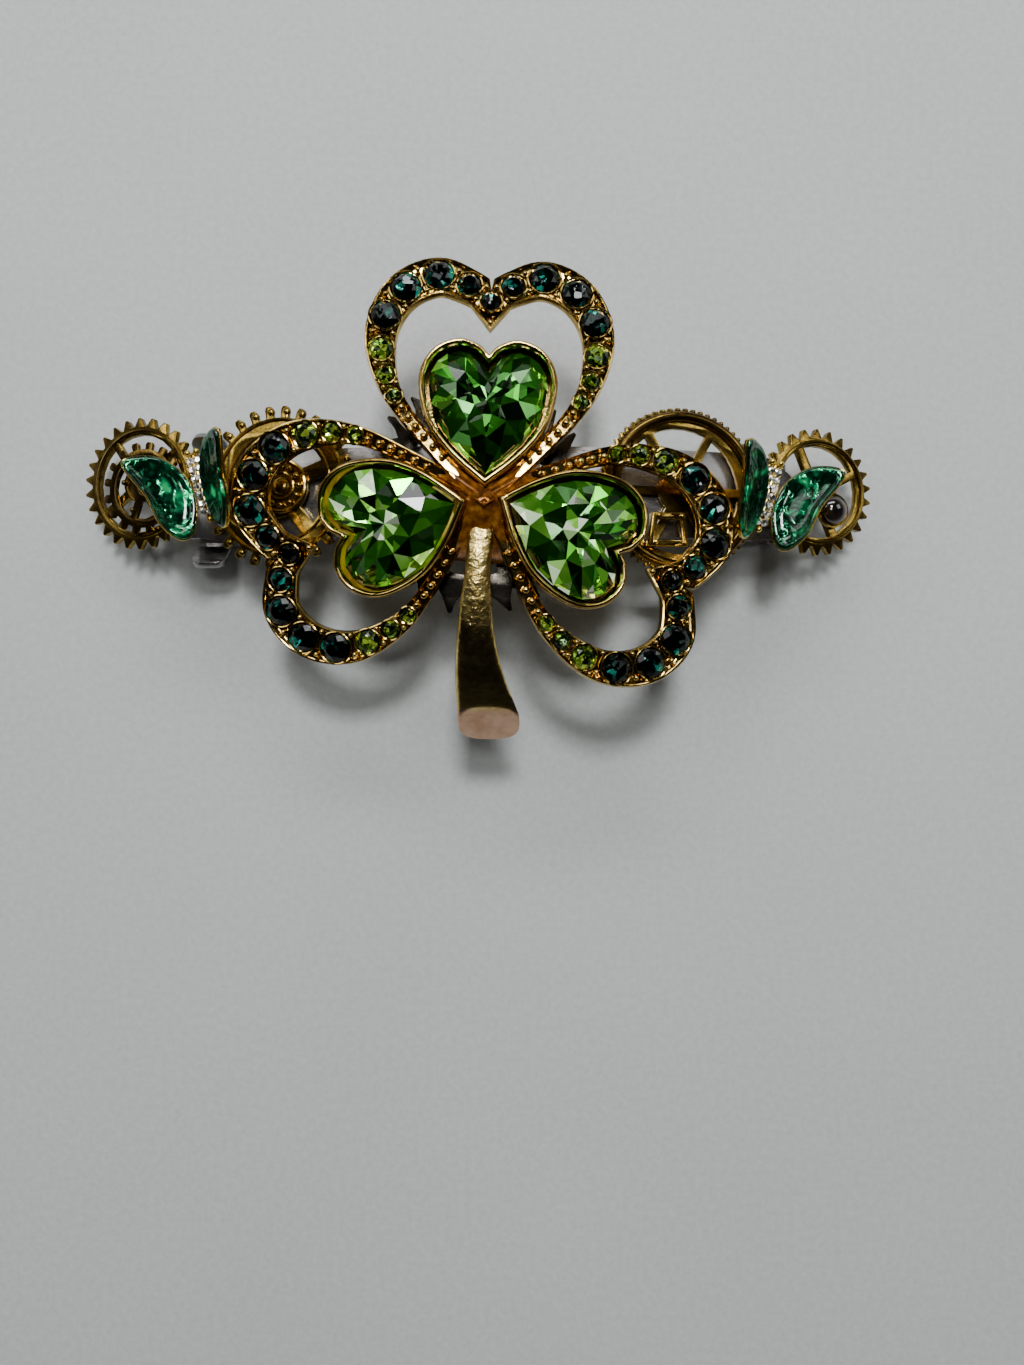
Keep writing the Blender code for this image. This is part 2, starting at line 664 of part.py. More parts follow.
def leaf_matrix(leaf):
    """Places a leaf drawn with its length along +Y and its face at z = 0."""
    root = move(*BROOCH_CENTRE, BROOCH_FACE) @ Matrix.Translation(Vector(LEAF_ROOTS[leaf]) * MM)
    return root @ turn(LEAF_AZIMUTHS[leaf] - 90, "Z") @ turn(-LEAF_DROOP[leaf], "X") @ turn(LEAF_ROLL[leaf], "Y")


def band_edges():
    """Outer and inner edge of a whole leaf band."""
    path = smooth_through([(u * MM, v * MM, h * MM) for u, v, h in LEAF_HALF], 4)
    outer, inner = [], []
    for i in range(len(path) - 1):
        before, here, after = path[max(i - 1, 0)], path[i], path[i + 1]
        along = Vector((after.x - before.x, after.y - before.y)).normalized()
        side = Vector((along.y, -along.x))
        middle = Vector((here.x, here.y))
        outer.append(middle + side * here.z)
        inner.append(middle - side * here.z)
    outer = [p for p in outer if p.x > 0.7 * MM]
    inner = [p for p in inner if p.x > 0.4 * MM]
    outer.append(Vector((0, LEAF_NOTCH_OUTER)))
    inner.append(Vector((0, LEAF_NOTCH_INNER)))
    return [half + [Vector((-p.x, p.y)) for p in reversed(half[:-1])] for half in (outer, inner)]


def heart(inset):
    """Outline of a heart cup, moved inwards by inset."""
    half = [p * MM for p in smooth_through(CUP_HALF, 2)]
    whole = half[:-1] + [Vector((-p.x, p.y)) for p in reversed(half[1:])]
    moved = []
    for i, here in enumerate(whole):
        before, after = whole[i - 1], whole[(i + 1) % len(whole)]
        first = (here - before).normalized()
        second = (after - here).normalized()
        normals = Vector((-first.y, first.x)), Vector((-second.y, second.x))
        across = (normals[0] + normals[1]).normalized()
        stretch = 1 / max(across.dot(normals[0]), 0.6)
        moved.append(here + across * inset * stretch)
    return moved


def raised(outline, height, scale=1, centre=(0, 11.2 * MM)):
    """The outline at one height, shrunk towards centre."""
    middle = Vector(centre)
    points = [middle + (Vector(p[:2]) - middle) * scale for p in outline]
    return [(p.x, p.y, height) for p in points]


def make_leaf_shapes(leaf):
    """The solids that a leaf adds to the casting, and the room that its cup takes from it."""
    matrix = leaf_matrix(leaf)
    outer, inner = band_edges()
    band = plate_from_outlines(f"band_{leaf}", [outer, inner], BAND_THICKNESS, "gold",
                               matrix @ move(0, 0, -BAND_THICKNESS / 2))
    floor_top = CUP_BOTTOM
    half_floor = [(1.5, 0), (4.9, 6.0), (5.6, 9.0)]
    outline = [(u * MM, v * MM) for u, v in half_floor] + [(-u * MM, v * MM) for u, v in reversed(half_floor)]
    depth = FLOOR_DEPTH + floor_top
    floor = plate_from_outlines(f"floor_{leaf}", [outline], depth, "gold", matrix @ move(0, 0, floor_top - depth / 2))
    room = heart(-CLEARANCE)
    low, high = CUP_BOTTOM - GLUE_GAP, CUP_BOTTOM + CUP_HEIGHT + CLEARANCE
    cutter = loft(f"cup_room_{leaf}", [raised(room, low), raised(room, high)], "gold", matrix)
    return as_mesh(band), as_mesh(floor), cutter


def make_stem():
    rings = []
    for y_top, z_top, y_low, z_low, half, bow in STEM_SECTIONS:
        upper = Vector((y_top * MM, BROOCH_FACE + z_top * MM))
        lower = Vector((y_low * MM, BROOCH_FACE + z_low * MM))
        middle, reach = (upper + lower) / 2, (upper - lower) / 2
        ring = []
        for k in range(12):
            angle = 2 * math.pi * k / 12
            across = (bow + math.copysign(abs(math.sin(angle)) ** 0.8, math.sin(angle)) * half) * MM
            height = middle + reach * math.copysign(abs(math.cos(angle)) ** 0.8, math.cos(angle))
            ring.append((across, height.x, height.y))
        rings.append(ring)
    return loft("stem", rings, "gold")


def make_shamrock():
    hub_middle = BROOCH_FACE - 0.5 * MM - HUB_DEPTH / 2
    casting = cylinder("shamrock_casting", HUB_RADIUS, HUB_DEPTH, 24, "gold", move(*BROOCH_CENTRE, hub_middle))
    rooms = []
    for leaf in LEAF_AZIMUTHS:
        band, floor, room = make_leaf_shapes(leaf)
        combine(casting, band, "UNION")
        combine(casting, floor, "UNION")
        rooms.append(room)
    combine(casting, make_stem(), "UNION")
    for room in rooms:
        combine(casting, room, "DIFFERENCE")
    post_low = PLATE_CROWN + GLUE_GAP + STAR_GEAR_SHEET + GLUE_GAP
    post_high = hub_middle - HUB_DEPTH / 2 - GLUE_GAP
    cylinder("brooch_post", POST_RADIUS, post_high - post_low, 20, "gold",
             move(*BROOCH_CENTRE, (post_low + post_high) / 2))


def make_heart_setting(leaf):
    """A cup and the faceted heart that it holds."""
    matrix = leaf_matrix(leaf)
    top = CUP_BOTTOM + CUP_HEIGHT
    floor = CUP_BOTTOM + CUP_FLOOR
    rings = [raised(heart(0), CUP_BOTTOM), raised(heart(0), top - 0.3 * MM), raised(heart(0.25 * MM), top),
             raised(heart(CUP_WALL), top), raised(heart(CUP_WALL), floor)]
    loft(f"heart_cup_{leaf}", rings, "gold", matrix)
    edge = heart(CUP_WALL + GLUE_GAP)
    girdle = CUP_BOTTOM + GIRDLE_HEIGHT
    stone = [raised(edge, floor + GLUE_GAP, 0.35), raised(edge, girdle - 0.2 * MM), raised(edge, girdle + 0.2 * MM),
             raised(edge, girdle + 0.65 * CROWN_HEIGHT, 0.8), raised(edge, girdle + CROWN_HEIGHT, 0.52)]
    loft(f"heart_stone_{leaf}", stone, "peridot", matrix)


def stone_places():
    """Name, place and diameter of each emerald of one leaf, walked along the band from its notch."""
    path = [Vector((p.x, p.y)) * MM for p in reversed(smooth_through(LEAF_HALF, 12))]
    found = [("notch", path[0], NOTCH_STONE)]
    wanted, radius = 0, NOTCH_STONE / 2
    for name, diameter in HALF_LEAF_STONES:
        wanted += radius + STONE_SPACE + diameter / 2
        radius = diameter / 2
        walked = 0
        for start, end in zip(path, path[1:]):
            step = (end - start).length
            if walked + step >= wanted:
                spot = start.lerp(end, (wanted - walked) / step)
                break
            walked += step
        found.append((f"{name}_a", spot, diameter))
        found.append((f"{name}_b", Vector((-spot.x, spot.y)), diameter))
    return found


def make_emeralds(leaf):
    for name, spot, diameter in stone_places():
        radius = diameter / 2
        sides = 8
        heights = [(0, 0.6), (0.42, 1), (0.55, 1), (1, 0.55)]
        rings = [[(x, y, share * STONE_HEIGHT) for x, y in circle(radius * width, sides)] for share, width in heights]
        matrix = leaf_matrix(leaf) @ move(spot.x, spot.y, STONE_GAP)
        loft(f"emerald_{leaf}_{name}", rings, "emerald", matrix)


# ---------------------------------------------------------------- assembly

clear_scene()
PARTS = new_collection("hair_clip")
CUTTERS = new_collection("cutters")
FRAME = bpy.data.objects.new("clip_origin", None)
PARTS.objects.link(FRAME)
FRAME.location = PLATE_CENTRE
bpy.context.view_layer.update()

make_plate()
make_arm()
make_hinge_pin()
make_tension_bar()
make_latch_base()
make_latch_tabs()
make_star_gear()
make_left_gear()
make_left_end_gear()
make_right_gear()
make_right_end_gear()
make_butterflies()
make_shamrock()
for leaf_name in LEAF_AZIMUTHS:
    make_heart_setting(leaf_name)
    make_emeralds(leaf_name)
bpy.context.view_layer.update()
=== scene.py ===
"""A hair barrette: a sprung steel clasp dressed with clock gears, butterflies and a shamrock."""

import math
import random

import bmesh
import bpy
from mathutils import Matrix, Vector


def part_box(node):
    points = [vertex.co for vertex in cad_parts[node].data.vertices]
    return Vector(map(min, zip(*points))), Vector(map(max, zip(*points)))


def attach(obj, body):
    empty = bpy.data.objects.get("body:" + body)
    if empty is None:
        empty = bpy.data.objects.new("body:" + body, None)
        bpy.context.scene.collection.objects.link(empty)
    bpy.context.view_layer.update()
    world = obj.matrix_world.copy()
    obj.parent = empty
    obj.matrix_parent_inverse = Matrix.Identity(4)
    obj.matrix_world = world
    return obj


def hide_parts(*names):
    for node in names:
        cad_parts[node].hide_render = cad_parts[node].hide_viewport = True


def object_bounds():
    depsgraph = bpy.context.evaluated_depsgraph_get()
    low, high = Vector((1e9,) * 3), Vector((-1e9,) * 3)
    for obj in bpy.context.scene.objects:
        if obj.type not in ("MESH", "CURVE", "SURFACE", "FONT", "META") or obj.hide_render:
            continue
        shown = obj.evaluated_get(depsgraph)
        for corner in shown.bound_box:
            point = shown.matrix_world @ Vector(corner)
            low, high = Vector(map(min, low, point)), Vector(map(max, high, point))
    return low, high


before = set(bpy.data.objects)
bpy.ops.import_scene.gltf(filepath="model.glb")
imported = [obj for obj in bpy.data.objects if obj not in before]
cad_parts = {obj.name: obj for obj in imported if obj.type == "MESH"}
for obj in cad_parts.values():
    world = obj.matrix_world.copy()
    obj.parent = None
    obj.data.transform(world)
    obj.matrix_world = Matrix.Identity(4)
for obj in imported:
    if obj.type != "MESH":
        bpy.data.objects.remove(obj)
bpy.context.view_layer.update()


# ------------------------------------------------------------------ barrette
# The clasp is bent from spring steel strip: an arched plate, a hinged arm, a leaf spring between them
# and a pair of squeeze tabs. Its cut edges are tumbled round and the faces keep a fine rolled grain.

MM = 0.001


class Value:
    """A shader output that takes part in sums."""

    def __init__(self, finish, socket):
        self.finish, self.socket = finish, socket

    def sum(self, operation, first, second=0.0):
        return self.finish.node("ShaderNodeMath", {"operation": operation}, {0: first, 1: second})

    def __add__(self, other):
        return self.sum("ADD", self, other)

    def __radd__(self, other):
        return self.sum("ADD", other, self)

    def __sub__(self, other):
        return self.sum("SUBTRACT", self, other)

    def __rsub__(self, other):
        return self.sum("SUBTRACT", other, self)

    def __mul__(self, other):
        return self.sum("MULTIPLY", self, other)

    def __rmul__(self, other):
        return self.sum("MULTIPLY", other, self)


class Finish:
    """A material under construction, with one way to add a node."""

    def __init__(self, name, **fixed):
        self.material = bpy.data.materials.new(name)
        self.material.use_nodes = True
        self.tree = self.material.node_tree
        self.surface = self.tree.nodes["Principled BSDF"]
        for key, value in fixed.items():
            self.surface.inputs[key.replace("_", " ")].default_value = value

    def feed(self, socket, value):
        if isinstance(value, Value):
            self.tree.links.new(value.socket, socket)
        else:
            socket.default_value = value

    def node(self, kind, settings=None, inputs=None, output=0):
        made = self.tree.nodes.new(kind)
        for key, value in (settings or {}).items():
            if key == "stops":
                ramp = made.color_ramp
                ramp.elements[0].position, ramp.elements[0].color = value[0]
                ramp.elements[1].position, ramp.elements[1].color = value[-1]
                for place, colour in value[1:-1]:
                    ramp.elements.new(place).color = colour
            elif key == "shading":
                made.color_ramp.interpolation = value
            else:
                setattr(made, key, value)
        for key, value in (inputs or {}).items():
            self.feed(made.inputs[key], value)
        return Value(self, made.outputs[output])

    def place(self, scale=(1, 1, 1)):
        """Where a point is on the clip, in millimetres times scale."""
        here = self.node("ShaderNodeTexCoord", output="Object")
        size = [1000 * s for s in scale]
        return self.node("ShaderNodeMapping", {}, {"Vector": here, "Scale": size})

    def noise(self, scale, detail=3, rough=0.55, place=None):
        return self.node("ShaderNodeTexNoise", {}, {
            "Vector": place or self.place(), "Scale": scale, "Detail": detail, "Roughness": rough})

    def ramp(self, factor, *stops, shading="LINEAR"):
        stops = [(at, (*colour, 1)) for at, colour in stops]
        return self.node("ShaderNodeValToRGB", {"stops": stops, "shading": shading}, {"Fac": factor})

    def mix(self, factor, first, second):
        return self.node("ShaderNodeMix", {"data_type": "RGBA"}, {0: factor, 6: first, 7: second}, 2)

    def range(self, value, low, high, to_low, to_high):
        return self.node("ShaderNodeMapRange", {}, {
            "Value": value, "From Min": low, "From Max": high, "To Min": to_low, "To Max": to_high})

    def bump(self, height, strength, depth):
        """depth is how far a height of 1 stands out, in millimetres."""
        return self.node("ShaderNodeBump", {}, {
            "Height": height, "Strength": strength, "Distance": depth * MM})

    def set(self, **links):
        for key, value in links.items():
            self.feed(self.surface.inputs[key.replace("_", " ")], value)
        return self.material


def rolled_steel(name, tint):
    """Grain drawn along X, with a few duller patches from handling."""
    steel = Finish(name, Metallic=1.0)
    grain = steel.noise(1.0, 4, 0.6, steel.place((0.25, 9, 9)))
    handled = steel.noise(0.16, 3, 0.5)
    worn = grain * 0.6 + handled * 0.4
    colour = steel.ramp(worn, (0.3, [c * 0.72 for c in tint]), (0.7, tint))
    return steel.set(Base_Color=colour, Roughness=steel.range(worn, 0.3, 0.7, 0.2, 0.4),
                     Normal=steel.bump(grain, 0.25, 0.02))


def shown(bm, name, finish, slot, *replaced, body="clip", crease=38):
    """Turns a bmesh drawn in millimetres into a piece that rides on a body of the clip."""
    bmesh.ops.recalc_face_normals(bm, faces=bm.faces)
    bmesh.ops.scale(bm, vec=(MM,) * 3, verts=bm.verts)
    mesh = bpy.data.meshes.new(name)
    bm.to_mesh(mesh)
    bm.free()
    if crease:
        mesh.shade_smooth()
        mesh.set_sharp_from_angle(angle=math.radians(crease))
    mesh.materials.append(finish)
    piece = bpy.data.objects.new(name, mesh)
    bpy.context.scene.collection.objects.link(piece)
    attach(piece, body)
    if replaced:
        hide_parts(*replaced)


def plain_copy(node):
    """A merged copy of a plain part, in millimetres, with its flat faces whole."""
    bm = bmesh.new()
    bm.from_mesh(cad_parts[node].data)
    bmesh.ops.scale(bm, vec=(1 / MM,) * 3, verts=bm.verts)
    bmesh.ops.remove_doubles(bm, verts=bm.verts, dist=0.0008)
    bmesh.ops.dissolve_limit(bm, angle_limit=math.radians(1.5), verts=bm.verts, edges=bm.edges)
    return bm


def round_off(bm, edges, width, segments):
    bmesh.ops.bevel(bm, geom=edges, offset=width, offset_type="OFFSET", affect="EDGES",
                    segments=segments, profile=0.5, material=-1, clamp_overlap=True)


def ease(bm, width):
    """Rounds every edge sharper than 30 degrees."""
    sharp = [e for e in bm.edges if e.is_manifold and e.calc_face_angle(0) > math.radians(30)]
    round_off(bm, sharp, width, 2)


STEEL = rolled_steel("spring_steel", (0.36, 0.35, 0.345))
TAB_CORNER = 1.5
for node, body in (("top_plate", "clip"), ("tension_bar", "clip"), ("latch_base", "clip"),
                   ("latch_rivet", "clip"), ("hinge_pin", "clip"), ("clasp_arm", "clasp_arm"),
                   ("latch_tab_far", "latch_tab_far"), ("latch_tab_near", "latch_tab_near")):
    part = plain_copy(node)
    if node.startswith("latch_tab"):
        # The finger wings have round corners here, where the plain tabs are square.
        tip = max(v.co.z for v in part.verts)
        corners = [e for e in part.edges if min(v.co.z for v in e.verts) > tip - 0.9
                   and abs(e.verts[0].co.x - e.verts[1].co.x) < 0.01 and e.calc_length() < 1.2]
        round_off(part, corners, TAB_CORNER, 6)
    ease(part, 0.09)
    shown(part, f"{node}_steel", STEEL, "steel", node, body=body)


# ------------------------------------------------------------------ gears
# Stamped clock wheels of aged brass, one of dark steel under the brooch, all glued to the plate. The
# tooth tips and rims are rubbed bright and the hollows keep their brown patina.

def aged_brass(name, bright, brown, polish):
    brass = Finish(name, Metallic=1.0)
    patina = brass.noise(0.35, 5, 0.62)
    grit = brass.noise(3.2, 3, 0.5)
    worn = patina * 0.75 + grit * 0.25
    middle = [(a + b) / 2 for a, b in zip(bright, brown)]
    colour = brass.ramp(worn, (0.36, brown), (0.5, middle), (0.62, bright))
    rough = brass.range(worn, 0.35, 0.65, polish + 0.14, polish - 0.06)
    return brass.set(Base_Color=colour, Roughness=rough, Normal=brass.bump(grit, 0.3, 0.03))


def turned(bm, profile, place, steps=48):
    """Spins a closed profile, given as radius and height, about the place's own Z."""
    there = set(bm.verts)
    verts = [bm.verts.new((r, 0, z)) for r, z in profile]
    edges = [bm.edges.new(pair) for pair in zip(verts, verts[1:] + verts[:1])]
    bmesh.ops.spin(bm, geom=verts + edges, cent=(0, 0, 0), axis=(0, 0, 1), dvec=(0, 0, 0),
                   angle=2 * math.pi, steps=steps, use_merge=True)
    bmesh.ops.transform(bm, matrix=place, verts=[v for v in bm.verts if v not in there])


def bulb(bm, place, radius, sides=8, rows=5, squash=1.0):
    """A small ball."""
    size = Matrix.Diagonal((1, 1, squash, 1))
    bmesh.ops.create_uvsphere(bm, u_segments=sides, v_segments=rows, radius=radius, matrix=place @ size)


def move(x, y, z=0.0):
    return Matrix.Translation((x, y, z))


def turn(degrees, axis):
    return Matrix.Rotation(math.radians(degrees), 4, axis)


def round_section(radius, tube, height=0.0, sides=8):
    turns = [2 * math.pi * k / sides for k in range(sides)]
    return [(radius + tube * math.cos(a), height + tube * math.sin(a)) for a in turns]


def middle_of(node):
    low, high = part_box(node)
    return (low + high) / 2 / MM


PLATE_ARCH_RADIUS = 126
PLATE_REACH = 38
SHEET = 0.9
GLUE = 0.2
SECOND_LAYER = GLUE + SHEET + GLUE
plate_middle = middle_of("top_plate")
plate_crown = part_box("top_plate")[1].z / MM


def plate_top(x):
    return plate_crown - PLATE_ARCH_RADIUS + math.sqrt(PLATE_ARCH_RADIUS ** 2 - x * x)


def on_plate(x, y, lift):
    """A place on the arched plate, leaning with it. Past the plate's ends it keeps the lean of the end."""
    seat = max(-PLATE_REACH, min(PLATE_REACH, x))
    lean = math.asin(seat / PLATE_ARCH_RADIUS)
    origin = move(plate_middle.x + seat, plate_middle.y + y, plate_top(seat))
    return origin @ Matrix.Rotation(lean, 4, "Y") @ move((x - seat) / math.cos(lean), 0, lift)


OLD_BRASS = aged_brass("old_brass", (0.44, 0.30, 0.06), (0.085, 0.046, 0.008), 0.18)
GOLDEN_BRASS = aged_brass("golden_brass", (0.62, 0.42, 0.09), (0.18, 0.10, 0.016), 0.16)
DARK_BRASS = aged_brass("dark_brass", (0.26, 0.165, 0.04), (0.045, 0.025, 0.007), 0.18)
GUNMETAL = aged_brass("gunmetal", (0.065, 0.058, 0.048), (0.015, 0.013, 0.010), 0.22)

wheel = plain_copy("star_gear")
ease(wheel, 0.14)
shown(wheel, "star_wheel", GUNMETAL, "gunmetal", "star_gear")

# Left wheel: a broad rim with two raised lips, pegged teeth and a flower boss of rings and balls.
LEFT_WHEEL = (-26.0, 0.7)
wheel = plain_copy("left_gear")
ease(wheel, 0.12)
seat = on_plate(*LEFT_WHEEL, GLUE)
for radius, tube in ((8.45, 0.28), (6.9, 0.24)):
    turned(wheel, round_section(radius, tube, SHEET), seat, 72)
PEGS = 28
for k in range(PEGS):
    about = turn(360 * (k + 0.5) / PEGS, "Z")
    bulb(wheel, seat @ about @ move(9.45, 0, SHEET - 0.1), 0.52, 8, 6, 0.8)
shown(wheel, "left_wheel", OLD_BRASS, "antique_brass", "left_gear")

BOSS_RADIUS = 3.4
boss = bmesh.new()
seat = on_plate(LEFT_WHEEL[0] + 0.6, LEFT_WHEEL[1], SECOND_LAYER)
turned(boss, [(0.02, 0), (BOSS_RADIUS, 0), (BOSS_RADIUS, 0.35), (0.02, 0.35)], seat, 40)
for radius, tube in ((3.15, 0.26), (1.62, 0.2)):
    turned(boss, round_section(radius, tube, 0.45), seat, 40)
for k in range(12):
    bulb(boss, seat @ turn(30 * k, "Z") @ move(2.38, 0, 0.42), 0.5, 8, 6)
bulb(boss, seat @ move(0, 0, 0.32), 1.25, 20, 10, 0.55)
shown(boss, "left_boss", GOLDEN_BRASS, "antique_brass", "left_gear_rosette")

# End wheels: pointed teeth and a raised lip. The left one has a smaller wheel over it, off centre.
LEFT_END = (-45.2, 2.3)
RIGHT_END = (42.5, 1.0)
for node, name, spot, lip in (("left_end_gear", "left_end_wheel", LEFT_END, 6.9),
                              ("right_end_gear", "right_end_wheel", RIGHT_END, 6.5)):
    wheel = plain_copy(node)
    ease(wheel, 0.12)
    seat = on_plate(*spot, GLUE)
    turned(wheel, round_section(lip, 0.3, SHEET), seat, 64)
    turned(wheel, round_section(2.2, 0.25, SHEET), seat, 40)
    shown(wheel, name, OLD_BRASS, "antique_brass", node)
wheel = plain_copy("left_small_gear")
ease(wheel, 0.1)
seat = on_plate(*LEFT_END, SECOND_LAYER) @ move(1.0, -0.8)
turned(wheel, round_section(4.4, 0.2, 0.5), seat, 48)
bulb(wheel, seat @ move(0, 0, 0.4), 1.1, 16, 8, 0.5)
for k in range(5):
    bulb(wheel, seat @ turn(72 * k + 20, "Z") @ move(3.3, 0, 0.45), 0.38)
shown(wheel, "left_small_wheel", DARK_BRASS, "antique_brass", "left_small_gear")

# Right wheel: a dark domed rim edged with fine beads, and straight narrow spokes.
RIGHT_WHEEL = (23.9, 0.1)
wheel = plain_copy("right_gear")
ease(wheel, 0.1)
seat = on_plate(*RIGHT_WHEEL, GLUE)
shown(wheel, "right_wheel", GOLDEN_BRASS, "antique_brass", "right_gear")
RIM_RADIUS, RIM_HALF, RIM_RISE = 9.3, 0.7, 0.55
RIM_BEADS = 64
rim = bmesh.new()
dome_turns = [math.pi * k / 6 for k in range(7)]
section = [(RIM_RADIUS + RIM_HALF * math.cos(a), SHEET + RIM_RISE * math.sin(a)) for a in dome_turns]
turned(rim, section, seat, 96)
for k in range(RIM_BEADS):
    about = turn(360 * (k + 0.5) / RIM_BEADS, "Z")
    bulb(rim, seat @ about @ move(10.08, 0, SHEET - 0.1), 0.33, 6, 5)
shown(rim, "right_wheel_beaded_rim", DARK_BRASS, "antique_brass")

bridge = plain_copy("watch_bridge")
ease(bridge, 0.15)
seat = on_plate(*RIGHT_WHEEL, SECOND_LAYER) @ move(-2.0, -5.0)
for x, y in ((-1.9, -1.6), (1.9, -1.6), (-1.5, 1.7), (1.5, 1.7)):
    bulb(bridge, seat @ move(x, y, 1.2), 0.34, 8, 5, 0.6)
shown(bridge, "watch_bridge_frame", GOLDEN_BRASS, "antique_brass", "watch_bridge")


# Right end bead: a black glass dome pressed into a brass collar.
def jet_glass(name):
    glass = Finish(name, Coat_Weight=1.0, Coat_Roughness=0.03, IOR=1.55)
    swirl = glass.noise(0.6, 4)
    colour = glass.ramp(swirl, (0.4, (0.006, 0.005, 0.005)), (0.7, (0.03, 0.018, 0.01)))
    return glass.set(Base_Color=colour, Roughness=glass.range(swirl, 0.3, 0.7, 0.05, 0.16))


JET = jet_glass("jet_glass")
seat = on_plate(*RIGHT_END, SECOND_LAYER) @ move(1.6, -2.4)
dome = bmesh.new()
bulb(dome, seat @ move(0, 0, 0.45), 1.88, 32, 16, 0.74)
shown(dome, "right_end_dome", JET, "black_bead", "right_end_bead")
collar = bmesh.new()
turned(collar, [(1.7, 0), (2.25, 0), (2.25, 0.5), (2.12, 0.66), (1.92, 0.62), (1.8, 0.5)],
       seat, 40)
shown(collar, "right_end_collar", GOLDEN_BRASS, "antique_brass")


# ------------------------------------------------------------------ butterflies
# Cast bodies set with rows of clear stones, and four wings of etched sheet filled with clear green
# enamel. A thin raised wire keeps the enamel in, and the antennae end in gold balls.

def lofted(bm, rings, capped=True):
    """A skin grown from the first ring of points through all the others."""
    where = bm.verts.layers.int.get("where") or bm.verts.layers.int.new("where")
    verts = [bm.verts.new(p) for p in rings[0]]
    for i, vert in enumerate(verts):
        vert[where] = i
    edges = [bm.edges.new(pair) for pair in zip(verts, verts[1:] + verts[:1])]
    if capped:
        bm.faces.new(verts)
    for ring in rings[1:]:
        grown = bmesh.ops.extrude_edge_only(bm, edges=edges)["geom"]
        verts = [g for g in grown if isinstance(g, bmesh.types.BMVert)]
        fresh = set(verts)
        edges = [g for g in grown if isinstance(g, bmesh.types.BMEdge) and set(g.verts) <= fresh]
        for vert in verts:
            vert.co = ring[vert[where]]
    if capped:
        bm.faces.new(sorted(verts, key=lambda v: v[where]))


def smooth_through(points, steps, closed=False):
    """Points of a smooth curve through the given ones."""
    points = [Vector(p) for p in points]
    count = len(points)
    found = []
    for i in range(count if closed else count - 1):
        if closed:
            before, start, end, after = (points[(i + k) % count] for k in (-1, 0, 1, 2))
        else:
            start, end = points[i], points[i + 1]
            before = points[i - 1] if i else 2 * start - end
            after = points[i + 2] if i + 2 < count else 2 * end - start
        for step in range(steps):
            t = step / steps
            found.append(0.5 * (2 * start + (end - before) * t
                                + (2 * before - 5 * start + 4 * end - after) * t * t
                                + (3 * start - before - 3 * end + after) * t ** 3))
    if not closed:
        found.append(points[-1])
    return found


def wire_loop(bm, points, radius, place, sides=8):
    """A round wire along points and back to its start."""
    points = [place @ Vector(p) for p in points]
    up = (place.to_3x3() @ Vector((0, 0, 1))).normalized()
    turns = [2 * math.pi * k / sides for k in range(sides)]
    rings = []
    for i, here in enumerate(points):
        along = (points[(i + 1) % len(points)] - points[i - 1]).normalized()
        side = along.cross(up).normalized()
        rings.append([here + (side * math.cos(a) + up * math.sin(a)) * radius for a in turns])
    lofted(bm, rings + rings[:1], capped=False)
    bmesh.ops.remove_doubles(bm, verts=bm.verts, dist=1e-4)


def rose_gold(name, bright, shade, polish):
    """Plating over a casting: mirror-like on the crests, a little clouded in the hollows."""
    gold = Finish(name, Metallic=1.0)
    cloud = gold.noise(0.5, 4, 0.6)
    grain = gold.noise(2.4, 3, 0.5)
    colour = gold.ramp(cloud, (0.35, shade), (0.62, bright))
    rough = gold.range(cloud * 0.7 + grain * 0.3, 0.35, 0.65, polish + 0.14, polish)
    return gold.set(Base_Color=colour, Roughness=rough, Normal=gold.bump(grain, 0.18, 0.05))


